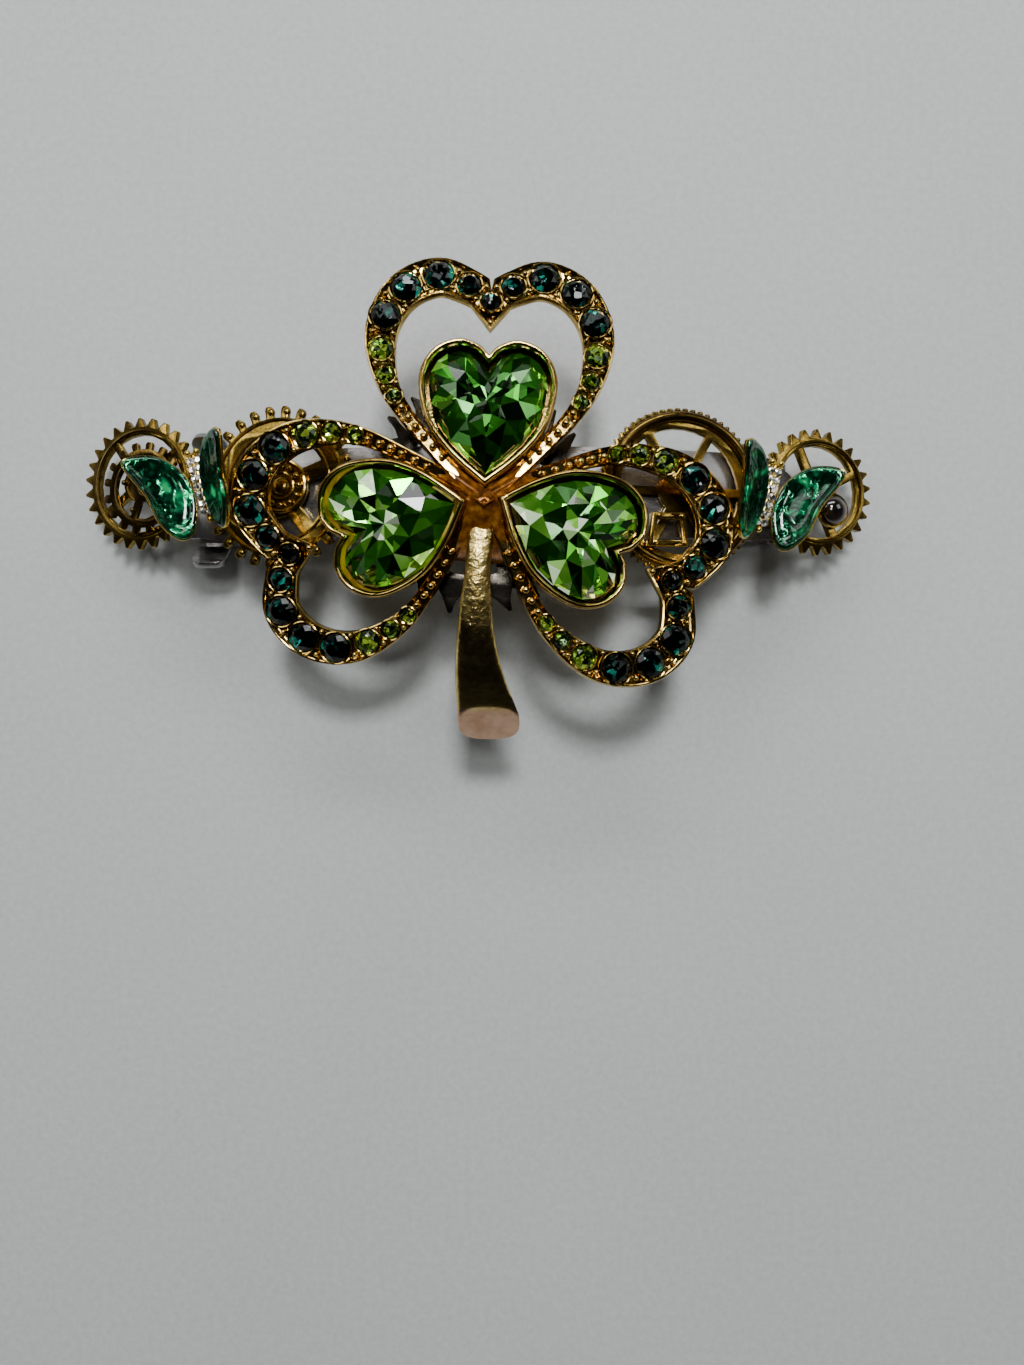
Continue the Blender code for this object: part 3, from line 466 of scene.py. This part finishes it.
def foiled(name, tones, cell, tilt, polish, painted_glow, faceted=False, painted_sparkle_from=0.70, gloss=1.0):
    """Cut glass with foil behind it, drawn with painted light: each shard of the reflected back throws its
    own share of painted light.

    On a faceted stone every facet shows another part of the back, and the painted light kept in its facet
    attribute lights or darkens it. The shard tones run from painted shade to painted reflections, and the
    brightest shards glow with painted sparkle.
    """
    glass = Finish(name, Metallic=0.78, Coat_Weight=gloss, Coat_Roughness=0.02, Coat_IOR=1.6,
                   Emission_Strength=painted_glow)
    where = glass.place()
    if faceted:
        facet = glass.node("ShaderNodeAttribute", {"attribute_name": "facet"}, output="Color")
        where = glass.node("ShaderNodeVectorMath", {"operation": "MULTIPLY_ADD"},
                           {0: facet, 1: (40, 40, 40), 2: where})
    shard = glass.node("ShaderNodeTexVoronoi", {}, {"Vector": where, "Scale": 1 / cell}, "Color")
    fine = glass.node("ShaderNodeTexVoronoi", {}, {"Vector": where, "Scale": 2.3 / cell}, "Color")
    both = glass.mix(0.18, shard, fine)
    red = glass.node("ShaderNodeSeparateColor", {}, {"Color": both}, 0)
    painted_sparkle_pick = glass.node("ShaderNodeSeparateColor", {}, {"Color": both}, 1)
    if faceted:
        own = glass.node("ShaderNodeSeparateColor", {}, {"Color": facet}, 2)
        red = red * 0.5 + own * 0.55 - 0.03
        painted_sparkle_pick = painted_sparkle_pick * 0.5 + own * 0.55 - 0.03
    shade = glass.noise(0.8 / cell, 3, 0.6, where)
    red = red + shade * 0.36 - 0.18
    # Painted light: each shard's colour stands for how much light it reflects, from painted shade to painted
    # reflection.
    painted_shard_tone = glass.ramp(red, *tones)
    # Painted sparkle: the brightest shards glow with emission, though the stone is no lamp.
    painted_sparkle = glass.ramp(painted_sparkle_pick, (painted_sparkle_from, (0, 0, 0)), (painted_sparkle_from + 0.08, tones[-2][1]),
                       (painted_sparkle_from + 0.14, tones[-1][1]))
    facing = glass.node("ShaderNodeNewGeometry", output="Normal")
    lean = glass.node("ShaderNodeVectorMath", {"operation": "SUBTRACT"}, {0: both, 1: (0.5, 0.5, 0.5)})
    lean = glass.node("ShaderNodeVectorMath", {"operation": "SCALE"}, {0: lean, "Scale": tilt})
    leaned = glass.node("ShaderNodeVectorMath", {"operation": "ADD"}, {0: facing, 1: lean})
    leaned = glass.node("ShaderNodeVectorMath", {"operation": "NORMALIZE"}, {0: leaned})
    rough = glass.range(shade, 0.3, 0.7, polish, polish + 0.1)
    return glass.set(Base_Color=painted_shard_tone, Roughness=rough, Emission_Color=painted_sparkle, Normal=leaned)


def enamel(name):
    """Clear green glass, drawn lighter where it stands thick over the rim and dark over the etched hollow,
    with painted glints that glow.
    """
    glass = Finish(name, Metallic=0.85, Coat_Weight=0.7, Coat_Roughness=0.06, Emission_Strength=0.5)
    rim = glass.node("ShaderNodeAttribute", {"attribute_name": "thickness"}, output="Fac")
    curl = glass.node("ShaderNodeTexNoise", {}, {
        "Vector": glass.place((1, 0.7, 1)), "Scale": 0.3, "Detail": 1.5, "Distortion": 2.2})
    drift = glass.noise(0.4, 2, 0.5)
    hollow = glass.ramp(curl, (0.30, (0.0, 0.008, 0.004)), (0.42, (0.0, 0.03, 0.012)),
                        (0.45, (0.01, 0.18, 0.07)), (0.48, (0.0, 0.015, 0.006)),
                        (0.56, (0.0, 0.05, 0.02)), (0.59, (0.01, 0.22, 0.09)), (0.63, (0.0, 0.02, 0.01)))
    edge = glass.ramp(drift, (0.35, (0.0, 0.02, 0.009)), (0.5, (0.001, 0.075, 0.03)),
                      (0.65, (0.008, 0.22, 0.08)))
    # Painted glints: bright green emission where the swirl and the drift run high together.
    painted_glint = glass.ramp(drift * 0.6 + curl * 0.4, (0.55, (0, 0, 0)), (0.60, (0.002, 0.10, 0.03)),
                       (0.67, (0.03, 0.8, 0.26)))
    rough = glass.range(drift, 0.3, 0.7, 0.06, 0.2)
    return glass.set(Base_Color=glass.mix(rim, hollow, edge), Roughness=rough, Emission_Color=painted_glint,
                     Normal=glass.bump(curl, 0.9, 0.6))


def brilliant(bm, place, radius, height, sides=8):
    """A round cut stone: table, kite facets, girdle and a short back."""
    points = []
    for share, up, count, start in ((0.56, 1.0, sides, 0), (0.82, 0.66, sides, 0.5),
                                    (1.0, 0.28, 2 * sides, 0), (1.0, 0.18, 2 * sides, 0),
                                    (0.45, 0.0, sides, 0)):
        out = radius * share
        for k in range(count):
            angle = 2 * math.pi * (k + start) / count
            points.append(place @ Vector((out * math.cos(angle), out * math.sin(angle), height * up)))
    bmesh.ops.convex_hull(bm, input=[bm.verts.new(p) for p in points])


ROSE_GOLD = rose_gold("rose_gold", (0.68, 0.48, 0.14), (0.32, 0.20, 0.045), 0.05)
YELLOW_GOLD = rose_gold("yellow_gold", (0.80, 0.60, 0.15), (0.42, 0.28, 0.045), 0.07)
WING_ENAMEL = enamel("wing_enamel")
# Clear stones: the grey to white shard tones are painted reflections, and they glow with painted sparkle.
CLEAR_STONE = foiled("clear_stones", [
    (0.25, (0.10, 0.10, 0.09)), (0.45, (0.45, 0.45, 0.40)), (0.6, (0.85, 0.85, 0.78)),
    (0.8, (1.0, 1.0, 0.95))], cell=0.4, tilt=1.2, polish=0.05, painted_glow=0.7)

WING_OUTLINE = [(1.05, -2.1), (1.6, 1.6), (4.5, 4.3), (8.4, 4.1), (6.7, -0.3), (5.9, -4.0),
                (4.0, -6.35), (2.3, -5.7)]
# Rings of the enamel from the sheet over its rim into the hollow: share of the outline, and height.
WING_SWELL = [(0.95, -0.2), (0.99, 0.12), (0.97, 0.36), (0.92, 0.5), (0.85, 0.48), (0.77, 0.3),
              (0.68, 0.12), (0.5, 0.04), (0.25, 0.1)]
RIM_HEIGHT = 0.5
BODY_LONG, BODY_TALL = 9.4, 1.8
wing_edge = [(p.x, p.y) for p in smooth_through(WING_OUTLINE, 6, closed=True)]
for side, spin, outwards in (("left", 15, -1), ("right", -15, 1)):
    centre = middle_of(f"{side}_butterfly_body")
    place = move(*centre) @ turn(spin, "Z")
    for wing, way, rise in (("outer", outwards, 26), ("inner", -outwards, 50)):
        hang = place @ move(0, 0, BODY_TALL / 4) @ turn(-way * rise, "Y")
        outline = [Vector((way * x, y)) for x, y in wing_edge]
        heart = sum(outline, Vector((0, 0))) / len(outline)
        glass = bmesh.new()
        lofted(glass, [[hang @ Vector((*(heart + (p - heart) * share), height)) for p in outline]
                       for share, height in WING_SWELL])
        lay = hang.inverted()
        thickness = glass.loops.layers.float_color.new("thickness")
        for face in glass.faces:
            for loop in face.loops:
                thick = max(0, min(1, (lay @ loop.vert.co).z / RIM_HEIGHT))
                loop[thickness] = (thick, thick, thick, 1)
        shown(glass, f"{side}_{wing}_wing_enamel", WING_ENAMEL, "green_enamel",
              f"{side}_butterfly_{wing}_wing")
        metal = bmesh.new()
        lofted(metal, [[hang @ Vector((*p, height)) for p in outline] for height in (-0.34, -0.1)])
        border = [(p.x * 0.99 + heart.x * 0.01, p.y * 0.99 + heart.y * 0.01, 0.02) for p in outline]
        wire_loop(metal, border, 0.14, hang)
        shown(metal, f"{side}_{wing}_wing_wire", YELLOW_GOLD, "gold")
    core = bmesh.new()
    bulb(core, place @ turn(90, "X"), 0.5, 16, 12)
    stretch = place @ Matrix.Diagonal((1.5, BODY_LONG - 0.5, 1.5, 1)) @ place.inverted()
    bmesh.ops.transform(core, matrix=stretch, verts=core.verts)
    for x, y in ((-0.55, 4.3), (0.55, 4.3)):
        bulb(core, place @ move(x, y, 0.35), 0.42, 10, 6)
    bulb(core, place @ move(0, -4.3, 0.2), 0.4, 10, 6)
    stones = bmesh.new()
    for k in range(7):
        y = -3.3 + 1.08 * k
        sink = 0.02 * y * y
        for x in (-0.42, 0.42):
            brilliant(stones, place @ move(x, y, 0.5 - sink) @ turn(30 * x, "Y"), 0.52, 0.45, 6)
            bulb(core, place @ move(x * 1.9, y + 0.54, 0.45 - sink), 0.15, 6, 4)
    shown(stones, f"{side}_butterfly_stones", CLEAR_STONE, "clear_stone", f"{side}_butterfly_body",
          crease=0)
    shown(core, f"{side}_butterfly_core", YELLOW_GOLD, "gold")


# ------------------------------------------------------------------ shamrock casting
# One casting, plated rose gold: three open heart-shaped bands that carry the small stones, a fluted
# middle in coppery lacquer where they meet, and a flat stem. Prong beads are raised between the stones.

# Azimuth, droop, roll, and where the leaf starts from the middle of the brooch.
LEAVES = {
    "top": (88.3, 7.5, 1, (0, -0.3, 0.4)),
    "left": (194.5, 11.2, -7, (-0.5, 0.4, -0.2)),
    "right": (-23.5, 8.9, -4, (0.2, 0.6, -0.1)),
}
post = middle_of("brooch_post")
LEAF_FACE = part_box("brooch_post")[1].z / MM + 3.9


def on_leaf(leaf):
    """A leaf's own place: its length along Y and the face of its band at height 0."""
    azimuth, droop, roll, root = LEAVES[leaf]
    start = move(post.x + root[0], post.y + root[1], LEAF_FACE + root[2])
    return start @ turn(azimuth - 90, "Z") @ turn(-droop, "X") @ turn(roll, "Y")


# Half of a band's middle line: across, along, half width.
BAND_HALF = [(1.6, 1.4, 0.8), (6.0, 6.0, 0.8), (10.9, 12.1, 1.15), (12.8, 17.9, 1.8), (12.4, 22.3, 2.15),
             (10.1, 25.9, 2.4), (6.3, 27.6, 2.4), (2.7, 26.5, 2.15)]
NOTCH = (23.5, 2.6)
NOTCH_STONE = (0, 24.45)
NOTCH_EMERALD = 2.2
EMERALDS = (2.6, 3.4, 3.4, 3.4)
STONE_GAP = 0.9
SET_WIDER = 0.34
LIME_STONES = [((12.75, 18.07), 2.7), ((12.07, 14.87), 2.0), ((10.96, 12.3), 1.6)]
CAST_BEADS = [(10.05, 10.95), (9.2, 9.75), (8.3, 8.6), (7.3, 7.5), (6.2, 6.3), (5.1, 5.1)]
# Across a band from its outer edge to its inner edge: share of the half width, and height.
HALF_SECTION = [(0.76, -1.6), (1.0, -0.5), (1.0, -0.1), (0.98, 0.2), (0.93, 0.42), (0.86, 0.46),
                (0.79, 0.38), (0.72, 0.12), (0.6, 0.02)]
BAND_SECTION = HALF_SECTION + [(-across, up) for across, up in reversed(HALF_SECTION)]


def band_line():
    """The middle line of a whole band as point, direction across it and half width."""
    half = smooth_through(BAND_HALF + [(0.0, 24.9, 2.0)], 6)[:-3]
    line = []
    for i, here in enumerate(half):
        before, after = half[max(i - 1, 0)], half[min(i + 1, len(half) - 1)]
        along = Vector((after.x - before.x, after.y - before.y)).normalized()
        line.append((Vector((here.x, here.y)), Vector((along.y, -along.x)), here.z))
    mirrored = [(Vector((-p.x, p.y)), Vector((-s.x, s.y)), w) for p, s, w in reversed(line)]
    return line + [(Vector((0, NOTCH[0])), Vector((0, 1)), NOTCH[1])] + mirrored


def emerald_places():
    """Where each dark stone of a leaf sits: spot and diameter, walked from the notch along both sides."""
    line = smooth_through(BAND_HALF + [(*NOTCH_STONE, 2.0)], 12)
    path = [Vector((p.x, p.y)) for p in reversed(line)]
    found = [(path[0], NOTCH_EMERALD)]
    wanted, radius = 0, NOTCH_EMERALD / 2
    for diameter in EMERALDS:
        wanted += radius + STONE_GAP + diameter / 2
        radius = diameter / 2
        walked = 0
        for start, end in zip(path, path[1:]):
            step = (end - start).length
            if walked + step >= wanted:
                spot = start.lerp(end, (wanted - walked) / step)
                break
            walked += step
        found += [(spot, diameter), (Vector((-spot.x, spot.y)), diameter)]
    return found


def copper(name):
    """Warm lacquer over the gold, streaked along the flutes."""
    lacquer = Finish(name, Metallic=0.55, Coat_Weight=0.6, Coat_Roughness=0.06)
    streak = lacquer.noise(0.9, 4, 0.6)
    colour = lacquer.ramp(streak, (0.34, (0.11, 0.032, 0.003)), (0.52, (0.32, 0.11, 0.008)),
                          (0.72, (0.62, 0.28, 0.04)))
    return lacquer.set(Base_Color=colour, Roughness=lacquer.range(streak, 0.3, 0.7, 0.3, 0.16),
                       Normal=lacquer.bump(streak, 0.4, 0.12))


COPPER = copper("copper_lacquer")
band_places = band_line()
emeralds = emerald_places()
casting = bmesh.new()
for leaf in LEAVES:
    place = on_leaf(leaf)
    lofted(casting, [[place @ Vector((*(spot + across * width * share), height))
                      for share, height in BAND_SECTION] for spot, across, width in band_places])
    for x in (-1, 1):
        for bead, size in zip(CAST_BEADS, (0.5, 0.5, 0.52, 0.5, 0.46, 0.42)):
            bulb(casting, place @ move(x * bead[0], bead[1], 0.3), size, 10, 6)
    bulb(casting, place @ move(0, 21.75, 0.42), 0.42, 10, 6)
    limes = [(Vector((x * spot[0], spot[1])), size) for spot, size in LIME_STONES for x in (-1, 1)]
    for spot, size in emeralds + limes:
        collar = round_section((size + SET_WIDER) / 2 + 0.1, 0.14, 0.5)
        turned(casting, collar, place @ move(spot.x, spot.y), 28)
    for x in (-1, 1):
        run = [(p, d) for p, d in emeralds if p.x * x > -0.1] + [
            (Vector((x * p[0], p[1])), d) for p, d in LIME_STONES]
        # Two prong beads stand between each stone and the next.
        for (first, a), (second, b) in zip(run, run[1:]):
            gap = (second - first).normalized()
            middle = first + gap * (a / 2 + ((second - first).length - a / 2 - b / 2) / 2)
            side = Vector((gap.y, -gap.x))
            reach = min(a, b) * 0.36 + 0.22
            for way in (-1, 1):
                spot = middle + side * way * reach
                bulb(casting, place @ move(spot.x, spot.y, 0.6), 0.34, 8, 6)
shown(casting, "shamrock_bands", ROSE_GOLD, "gold", "shamrock_casting")

# The middle: fluted webs that run out between the cups to where the bands part. Each has its azimuth,
# its reach, its width at the middle and at its end, and how far it falls.
web = bmesh.new()
WEBS = [(141.4, 8.6, 0.8, 1.2, 2.6), (32.4, 8.6, 0.8, 1.2, 2.6), (267, 7.4, 1.5, 3.6, 3.0)]
HALF_FLUTES = [(-1.0, -2.4), (-1.0, 0.0), (-0.94, 0.16), (-0.84, 0.1), (-0.6, -0.22),
               (-0.36, -0.34), (-0.16, -0.2)]
FLUTES = HALF_FLUTES + [(0.0, -0.16)] + [(-across, up) for across, up in reversed(HALF_FLUTES)]
for azimuth, reach, narrow, wide, fall in WEBS:
    place = move(post.x, post.y, LEAF_FACE) @ turn(azimuth, "Z")
    rings = []
    for k in range(11):
        share = k / 10
        width = narrow + (wide - narrow) * share ** 1.3
        height = 1.5 - fall * share ** 1.4 - 1.6 * max(0, share - 0.75) / 0.25
        rings.append([place @ Vector((reach * share - 0.6, width * across, height + up * 0.9))
                      for across, up in FLUTES])
    lofted(web, rings)
hub = [(0.02, -2.8), (3.6, -2.8), (3.9, -1.6), (3.0, -0.2), (1.8, 0.6), (0.9, 0.95), (0.02, 1.0)]
turned(web, hub, move(post.x, post.y, LEAF_FACE), 36)
shown(web, "shamrock_flutes", COPPER, "gold")

# Stem: flattened, bowed a little to the left, cut off square at its foot.
# Each section has its upper edge and its lower edge (along, height), its half width and its bow.
STEM = [(-2.0, 20.0, -2.0, 18.4, 2.2, -0.3), (-6.0, 20.7, -6.0, 18.3, 1.7, -0.7),
        (-10.0, 20.8, -10.0, 18.2, 1.5, -1.1), (-14.0, 20.3, -14.3, 17.8, 1.85, -1.35),
        (-18.0, 19.6, -18.8, 16.9, 2.3, -1.4), (-22.0, 18.5, -23.8, 15.7, 2.9, -1.0),
        (-25.0, 17.3, -28.2, 14.2, 3.5, -0.3), (-26.5, 16.6, -30.8, 13.0, 3.85, 0.1)]
first_half = smooth_through([row[:3] for row in STEM], 5)
second_half = smooth_through([row[3:] for row in STEM], 5)
SQUARED = 0.7
stem = bmesh.new()
rings = []
for (y_top, z_top, y_low), (z_low, half, bow) in zip(first_half, second_half):
    upper, lower = Vector((y_top, z_top)), Vector((y_low, z_low))
    middle, reach = (upper + lower) / 2, (upper - lower) / 2
    ring = []
    for k in range(28):
        angle = 2 * math.pi * k / 28
        across = bow + math.copysign(abs(math.sin(angle)) ** SQUARED, math.sin(angle)) * half
        height = middle + reach * math.copysign(abs(math.cos(angle)) ** SQUARED, math.cos(angle))
        ring.append(Vector((plate_middle.x + across, plate_middle.y + height.x, height.y)))
    rings.append(ring)
foot = sum(rings[-1], Vector()) / len(rings[-1])
rings[-1] = [foot + (p - foot) * 0.97 for p in rings[-1]]
rings.append([foot + (p - foot) * 0.9 for p in rings[-1]])
lofted(stem, rings)


def hammered_gold(name):
    """Dents that are strongest near the hub and fade on the cut foot, which is painted paler as a painted
    highlight.
    """
    gold = Finish(name, Metallic=1.0)
    dents = gold.noise(0.75, 3, 0.6)
    along = gold.node("ShaderNodeSeparateXYZ", {}, {0: gold.place()}, 1)
    beaten = gold.range(along, -18, -11, 0.4, 1) * gold.range(along, -25.2, -23.2, 0.06, 1)
    cloud = gold.noise(0.5, 4, 0.6)
    gilt = gold.ramp(cloud, (0.35, (0.44, 0.31, 0.09)), (0.62, (0.80, 0.62, 0.22)))
    # Painted highlight: the foot's colour is a paler rose, where the lamp catches the cut end.
    cut = gold.ramp(cloud, (0.35, (0.70, 0.42, 0.26)), (0.62, (0.88, 0.60, 0.40)))
    colour = gold.mix(gold.range(along, -25.6, -24.8, 1, 0), gilt, cut)
    rough = gold.range(dents, 0.3, 0.7, 0.2, 0.09) + gold.range(along, -17, -12, 0.0, 0.16)
    return gold.set(Base_Color=colour, Roughness=rough, Normal=gold.bump(dents * beaten, 0.5, 0.6))


shown(stem, "shamrock_stem", hammered_gold("hammered_gold"), "gold", crease=42)
shown(plain_copy("brooch_post"), "brooch_post_turned", ROSE_GOLD, "gold", "brooch_post")


# ------------------------------------------------------------------ small stones
# Round cut glass in the bands, each behind a thin rim: dark green ones round the lobes and lime
# ones down the sides, glued into drilled seats.

# Both stones: shard tones from near black to bright are painted shade and painted reflections, and the top
# tones glow as painted sparkle.
EMERALD = foiled("emerald_glass", [
    (0.58, (0.0, 0.001, 0.001)), (0.76, (0.0, 0.005, 0.004)), (0.85, (0.0, 0.04, 0.03)),
    (0.94, (0.02, 0.55, 0.40))], cell=1.2, tilt=0.6, polish=0.03, painted_glow=0.4, painted_sparkle_from=0.80, gloss=0.45)
LIME = foiled("lime_glass", [
    (0.44, (0.006, 0.016, 0.001)), (0.60, (0.03, 0.075, 0.003)), (0.72, (0.14, 0.30, 0.008)),
    (0.86, (0.70, 0.95, 0.10))], cell=0.7, tilt=0.8, polish=0.04, painted_glow=0.35, painted_sparkle_from=0.76, gloss=0.6)
for leaf in LEAVES:
    place = on_leaf(leaf)
    stones = bmesh.new()
    for spot, size in emeralds:
        brilliant(stones, place @ move(spot.x, spot.y, 0.12), (size + SET_WIDER) / 2, 1.0)
    nodes = [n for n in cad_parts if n.startswith(f"emerald_{leaf}")]
    shown(stones, f"{leaf}_leaf_emeralds", EMERALD, "emerald", *nodes, crease=0)
    stones = bmesh.new()
    for spot, size in LIME_STONES:
        for x in (-1, 1):
            brilliant(stones, place @ move(x * spot[0], spot[1], 0.1), (size + SET_WIDER) / 2, 0.9)
    shown(stones, f"{leaf}_leaf_lime_stones", LIME, "peridot", crease=0)


# ------------------------------------------------------------------ hearts
# A large heart-cut stone of foiled green glass stands in a deep cup on each leaf. The cup's rolled
# lip is burnished over the girdle.

CUP_HALF = [(0, 1.4), (4.0, 4.8), (6.7, 8.3), (7.9, 12.2), (7.8, 15.3), (6.2, 17.8), (3.5, 18.9),
            (1.2, 18.2), (0, 17.0)]
CUP_MIDDLE = Vector((0, 11.2))
# Heart stones: each facet carries painted light, the shard tones are painted reflections, and the brightest
# glow as painted sparkle.
PERIDOT = foiled("peridot_glass", [
    (0.20, (0.002, 0.010, 0.001)), (0.38, (0.008, 0.07, 0.003)), (0.52, (0.03, 0.24, 0.008)),
    (0.66, (0.10, 0.50, 0.02)), (0.78, (0.32, 0.85, 0.08)), (0.9, (0.85, 1.0, 0.75))],
    cell=5.5, tilt=0.5, polish=0.03, painted_glow=0.7, faceted=True, gloss=0.6)


def heart_line(inset, steps):
    """The cup's outline moved inwards, from its tip round."""
    half = smooth_through(CUP_HALF, steps)
    whole = half[:-1] + [Vector((-p.x, p.y)) for p in reversed(half[1:])]
    moved = []
    for i, here in enumerate(whole):
        before, after = whole[i - 1], whole[(i + 1) % len(whole)]
        first, second = (here - before).normalized(), (after - here).normalized()
        normals = Vector((-first.y, first.x)), Vector((-second.y, second.x))
        across = (normals[0] + normals[1]).normalized()
        moved.append(here + across * inset / max(across.dot(normals[0]), 0.6))
    return moved


# The cup's wall and lip: inset from the outline, and height.
LIP = [(0.05, -1.2), (0.0, 0.4), (-0.08, 1.5), (-0.04, 1.95), (0.1, 2.22), (0.3, 2.33),
       (0.5, 2.24), (0.62, 1.95), (0.7, 1.2), (0.72, -0.6)]
# Rows of the cut: share of the outline from the middle of the heart, and height.
GIRDLE_HEIGHT = 1.2
KITES, TABLE, STAR = (0.8, 2.2), (0.54, 2.75), (0.26, 2.75)
GIRDLE_DEPTH = 0.5
# How far the table's corners stand unevenly, how bright the painted light is in the middle of each stone (low
# paints shade there), and how much the facets' painted light differs.
FACET_TILT = {"top": 0.0, "left": 1.0, "right": 1.0}
HEART_PAINTED_LIGHT = {"top": 0.02, "left": 0.66, "right": 0.58}
HEART_SPREAD = {"top": 0.7, "left": 1.0, "right": 1.0}
chance = random.Random(7)
for leaf in LEAVES:
    place = on_leaf(leaf)
    cup = bmesh.new()
    lofted(cup, [[place @ Vector((*p, height)) for p in heart_line(inset, 6)] for inset, height in LIP])
    shown(cup, f"{leaf}_heart_cup", ROSE_GOLD, "gold", f"heart_cup_{leaf}", crease=60)

    outline = heart_line(1.12, 3)[::2]
    count = len(outline) // 2
    stone = bmesh.new()
    girdle = [stone.verts.new(place @ Vector((*p, GIRDLE_HEIGHT))) for p in outline]
    rows = []
    for (share, height), first, tilt in ((KITES, 1, 0), (TABLE, 0, 0.14), (STAR, 1, 0.06)):
        spots = [CUP_MIDDLE + (outline[2 * k + first] - CUP_MIDDLE) * share for k in range(count)]
        rows.append([stone.verts.new(place @ Vector((*p, height + tilt * FACET_TILT[leaf] * (k % 2))))
                     for k, p in enumerate(spots)])
    kites, table, star = rows
    for k in range(count):
        after = (k + 1) % count
        stone.faces.new((girdle[2 * k], girdle[2 * k + 1], kites[k]))
        stone.faces.new((girdle[2 * k + 1], girdle[(2 * k + 2) % len(girdle)], kites[k]))
        stone.faces.new((table[k], kites[k - 1], girdle[2 * k]))
        stone.faces.new((table[k], girdle[2 * k], kites[k]))
        stone.faces.new((table[k], kites[k], table[after]))
        stone.faces.new((table[k], table[after], star[k]))
        stone.faces.new((table[k], star[k], star[k - 1]))
    top = stone.verts.new(place @ Vector((*CUP_MIDDLE, STAR[1] + 0.15 * FACET_TILT[leaf])))
    for k in range(count):
        stone.faces.new((star[k], star[(k + 1) % count], top))
    rim = [e for e in stone.edges if e.is_boundary]
    below = bmesh.ops.extrude_edge_only(stone, edges=rim)["geom"]
    low = [g for g in below if isinstance(g, bmesh.types.BMVert)]
    down = place.to_3x3() @ Vector((0, 0, -1))
    bmesh.ops.translate(stone, vec=down * GIRDLE_DEPTH, verts=low)
    bmesh.ops.holes_fill(stone, edges=[e for e in stone.edges if e.is_boundary], sides=0)
    # The facet attribute: two channels shift each facet's shards at random, the third is its painted light.
    # The middle of each heart gets its own painted brightness, fading to an even tone outwards, and each
    # facet strays from it at random.
    tint = stone.loops.layers.float_color.new("facet")
    centre = place @ Vector((*CUP_MIDDLE, TABLE[1]))
    for face in stone.faces:
        inwards = max(0, 1 - (face.calc_center_median() - centre).length / 8)
        light = HEART_PAINTED_LIGHT[leaf] * inwards + 0.5 * (1 - inwards)
        shift = chance.random(), chance.random()
        light += chance.uniform(-0.42, 0.42) * HEART_SPREAD[leaf]
        for loop in face.loops:
            loop[tint] = (*shift, max(0, min(1, light)), 1)
    shown(stone, f"{leaf}_heart_stone", PERIDOT, "peridot", f"heart_stone_{leaf}", crease=0)


# ------------------------------------------------------------------ staging
# A pale foam board, a soft lamp and a wide strip from behind the top leaf, weak fills from above and
# from both sides, and a camera straight above.

board_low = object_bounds()[0].z
board = bmesh.new()
bmesh.ops.create_grid(board, x_segments=1, y_segments=1, size=900, matrix=move(0, -20, board_low / MM))
bmesh.ops.scale(board, vec=(MM,) * 3, verts=board.verts)
foam = Finish("pale_board")
speck = foam.noise(1.1, 5, 0.7)
cloud = foam.noise(0.02, 2)
foam_colour = foam.ramp(speck * 0.8 + cloud * 0.2, (0.3, (0.50, 0.53, 0.52)),
                        (0.7, (0.63, 0.66, 0.65)))
board_mesh = bpy.data.meshes.new("board")
board.to_mesh(board_mesh)
board.free()
board_mesh.materials.append(foam.set(Base_Color=foam_colour, Roughness=foam.range(speck, 0.3, 0.7, 0.75, 0.9),
                                     Normal=foam.bump(speck, 0.35, 0.12)))
floor = bpy.data.objects.new("board", board_mesh)
bpy.context.scene.collection.objects.link(floor)

for name, spot, size, power in (("lamp", (0.02, 0.215, 0.5), (0.10, 0.09), 1.9),
                                ("overhead", (0.0, 0.075, 0.55), (0.09, 0.09), 0.45),
                                ("strip", (0.0, 0.42, 0.33), (0.44, 0.10), 1.1),
                                ("left_panel", (-0.38, 0.25, 0.42), (0.22, 0.22), 0.5),
                                ("right_panel", (0.42, 0.20, 0.36), (0.20, 0.20), 0.3)):
    light = bpy.data.lights.new(name, "AREA")
    light.shape = "RECTANGLE"
    light.size, light.size_y = size
    light.energy = power
    lamp = bpy.data.objects.new(name, light)
    lamp.location = spot
    lamp.rotation_euler = (-Vector(spot)).to_track_quat("-Z", "Y").to_euler()
    bpy.context.scene.collection.objects.link(lamp)

room = bpy.data.worlds.new("studio")
bpy.context.scene.world = room
room.use_nodes = True
sky = room.node_tree.nodes["Background"]
facing = room.node_tree.nodes.new("ShaderNodeTexCoord")
height = room.node_tree.nodes.new("ShaderNodeSeparateXYZ")
shade = room.node_tree.nodes.new("ShaderNodeValToRGB")
room.node_tree.links.new(facing.outputs["Generated"], height.inputs[0])
room.node_tree.links.new(height.outputs["Z"], shade.inputs[0])
room.node_tree.links.new(shade.outputs[0], sky.inputs["Color"])
shade.color_ramp.elements[0].color = (0.50, 0.50, 0.51, 1)
shade.color_ramp.elements.new(0.15).color = (0.32, 0.32, 0.325, 1)
shade.color_ramp.elements.new(0.28).color = (0.030, 0.030, 0.032, 1)
shade.color_ramp.elements[3].position = 0.8
shade.color_ramp.elements[3].color = (0.008, 0.008, 0.009, 1)

CAMERA_PLACE = Vector((plate_middle.x + 2.9, plate_middle.y - 23.7, 130.6))
camera = bpy.data.objects.new("camera", bpy.data.cameras.new("camera"))
camera.data.lens = 24.98
camera.data.sensor_width = 36
camera.data.clip_start = 0.01
camera.location = CAMERA_PLACE * MM
bpy.context.scene.collection.objects.link(camera)
bpy.context.scene.camera = camera
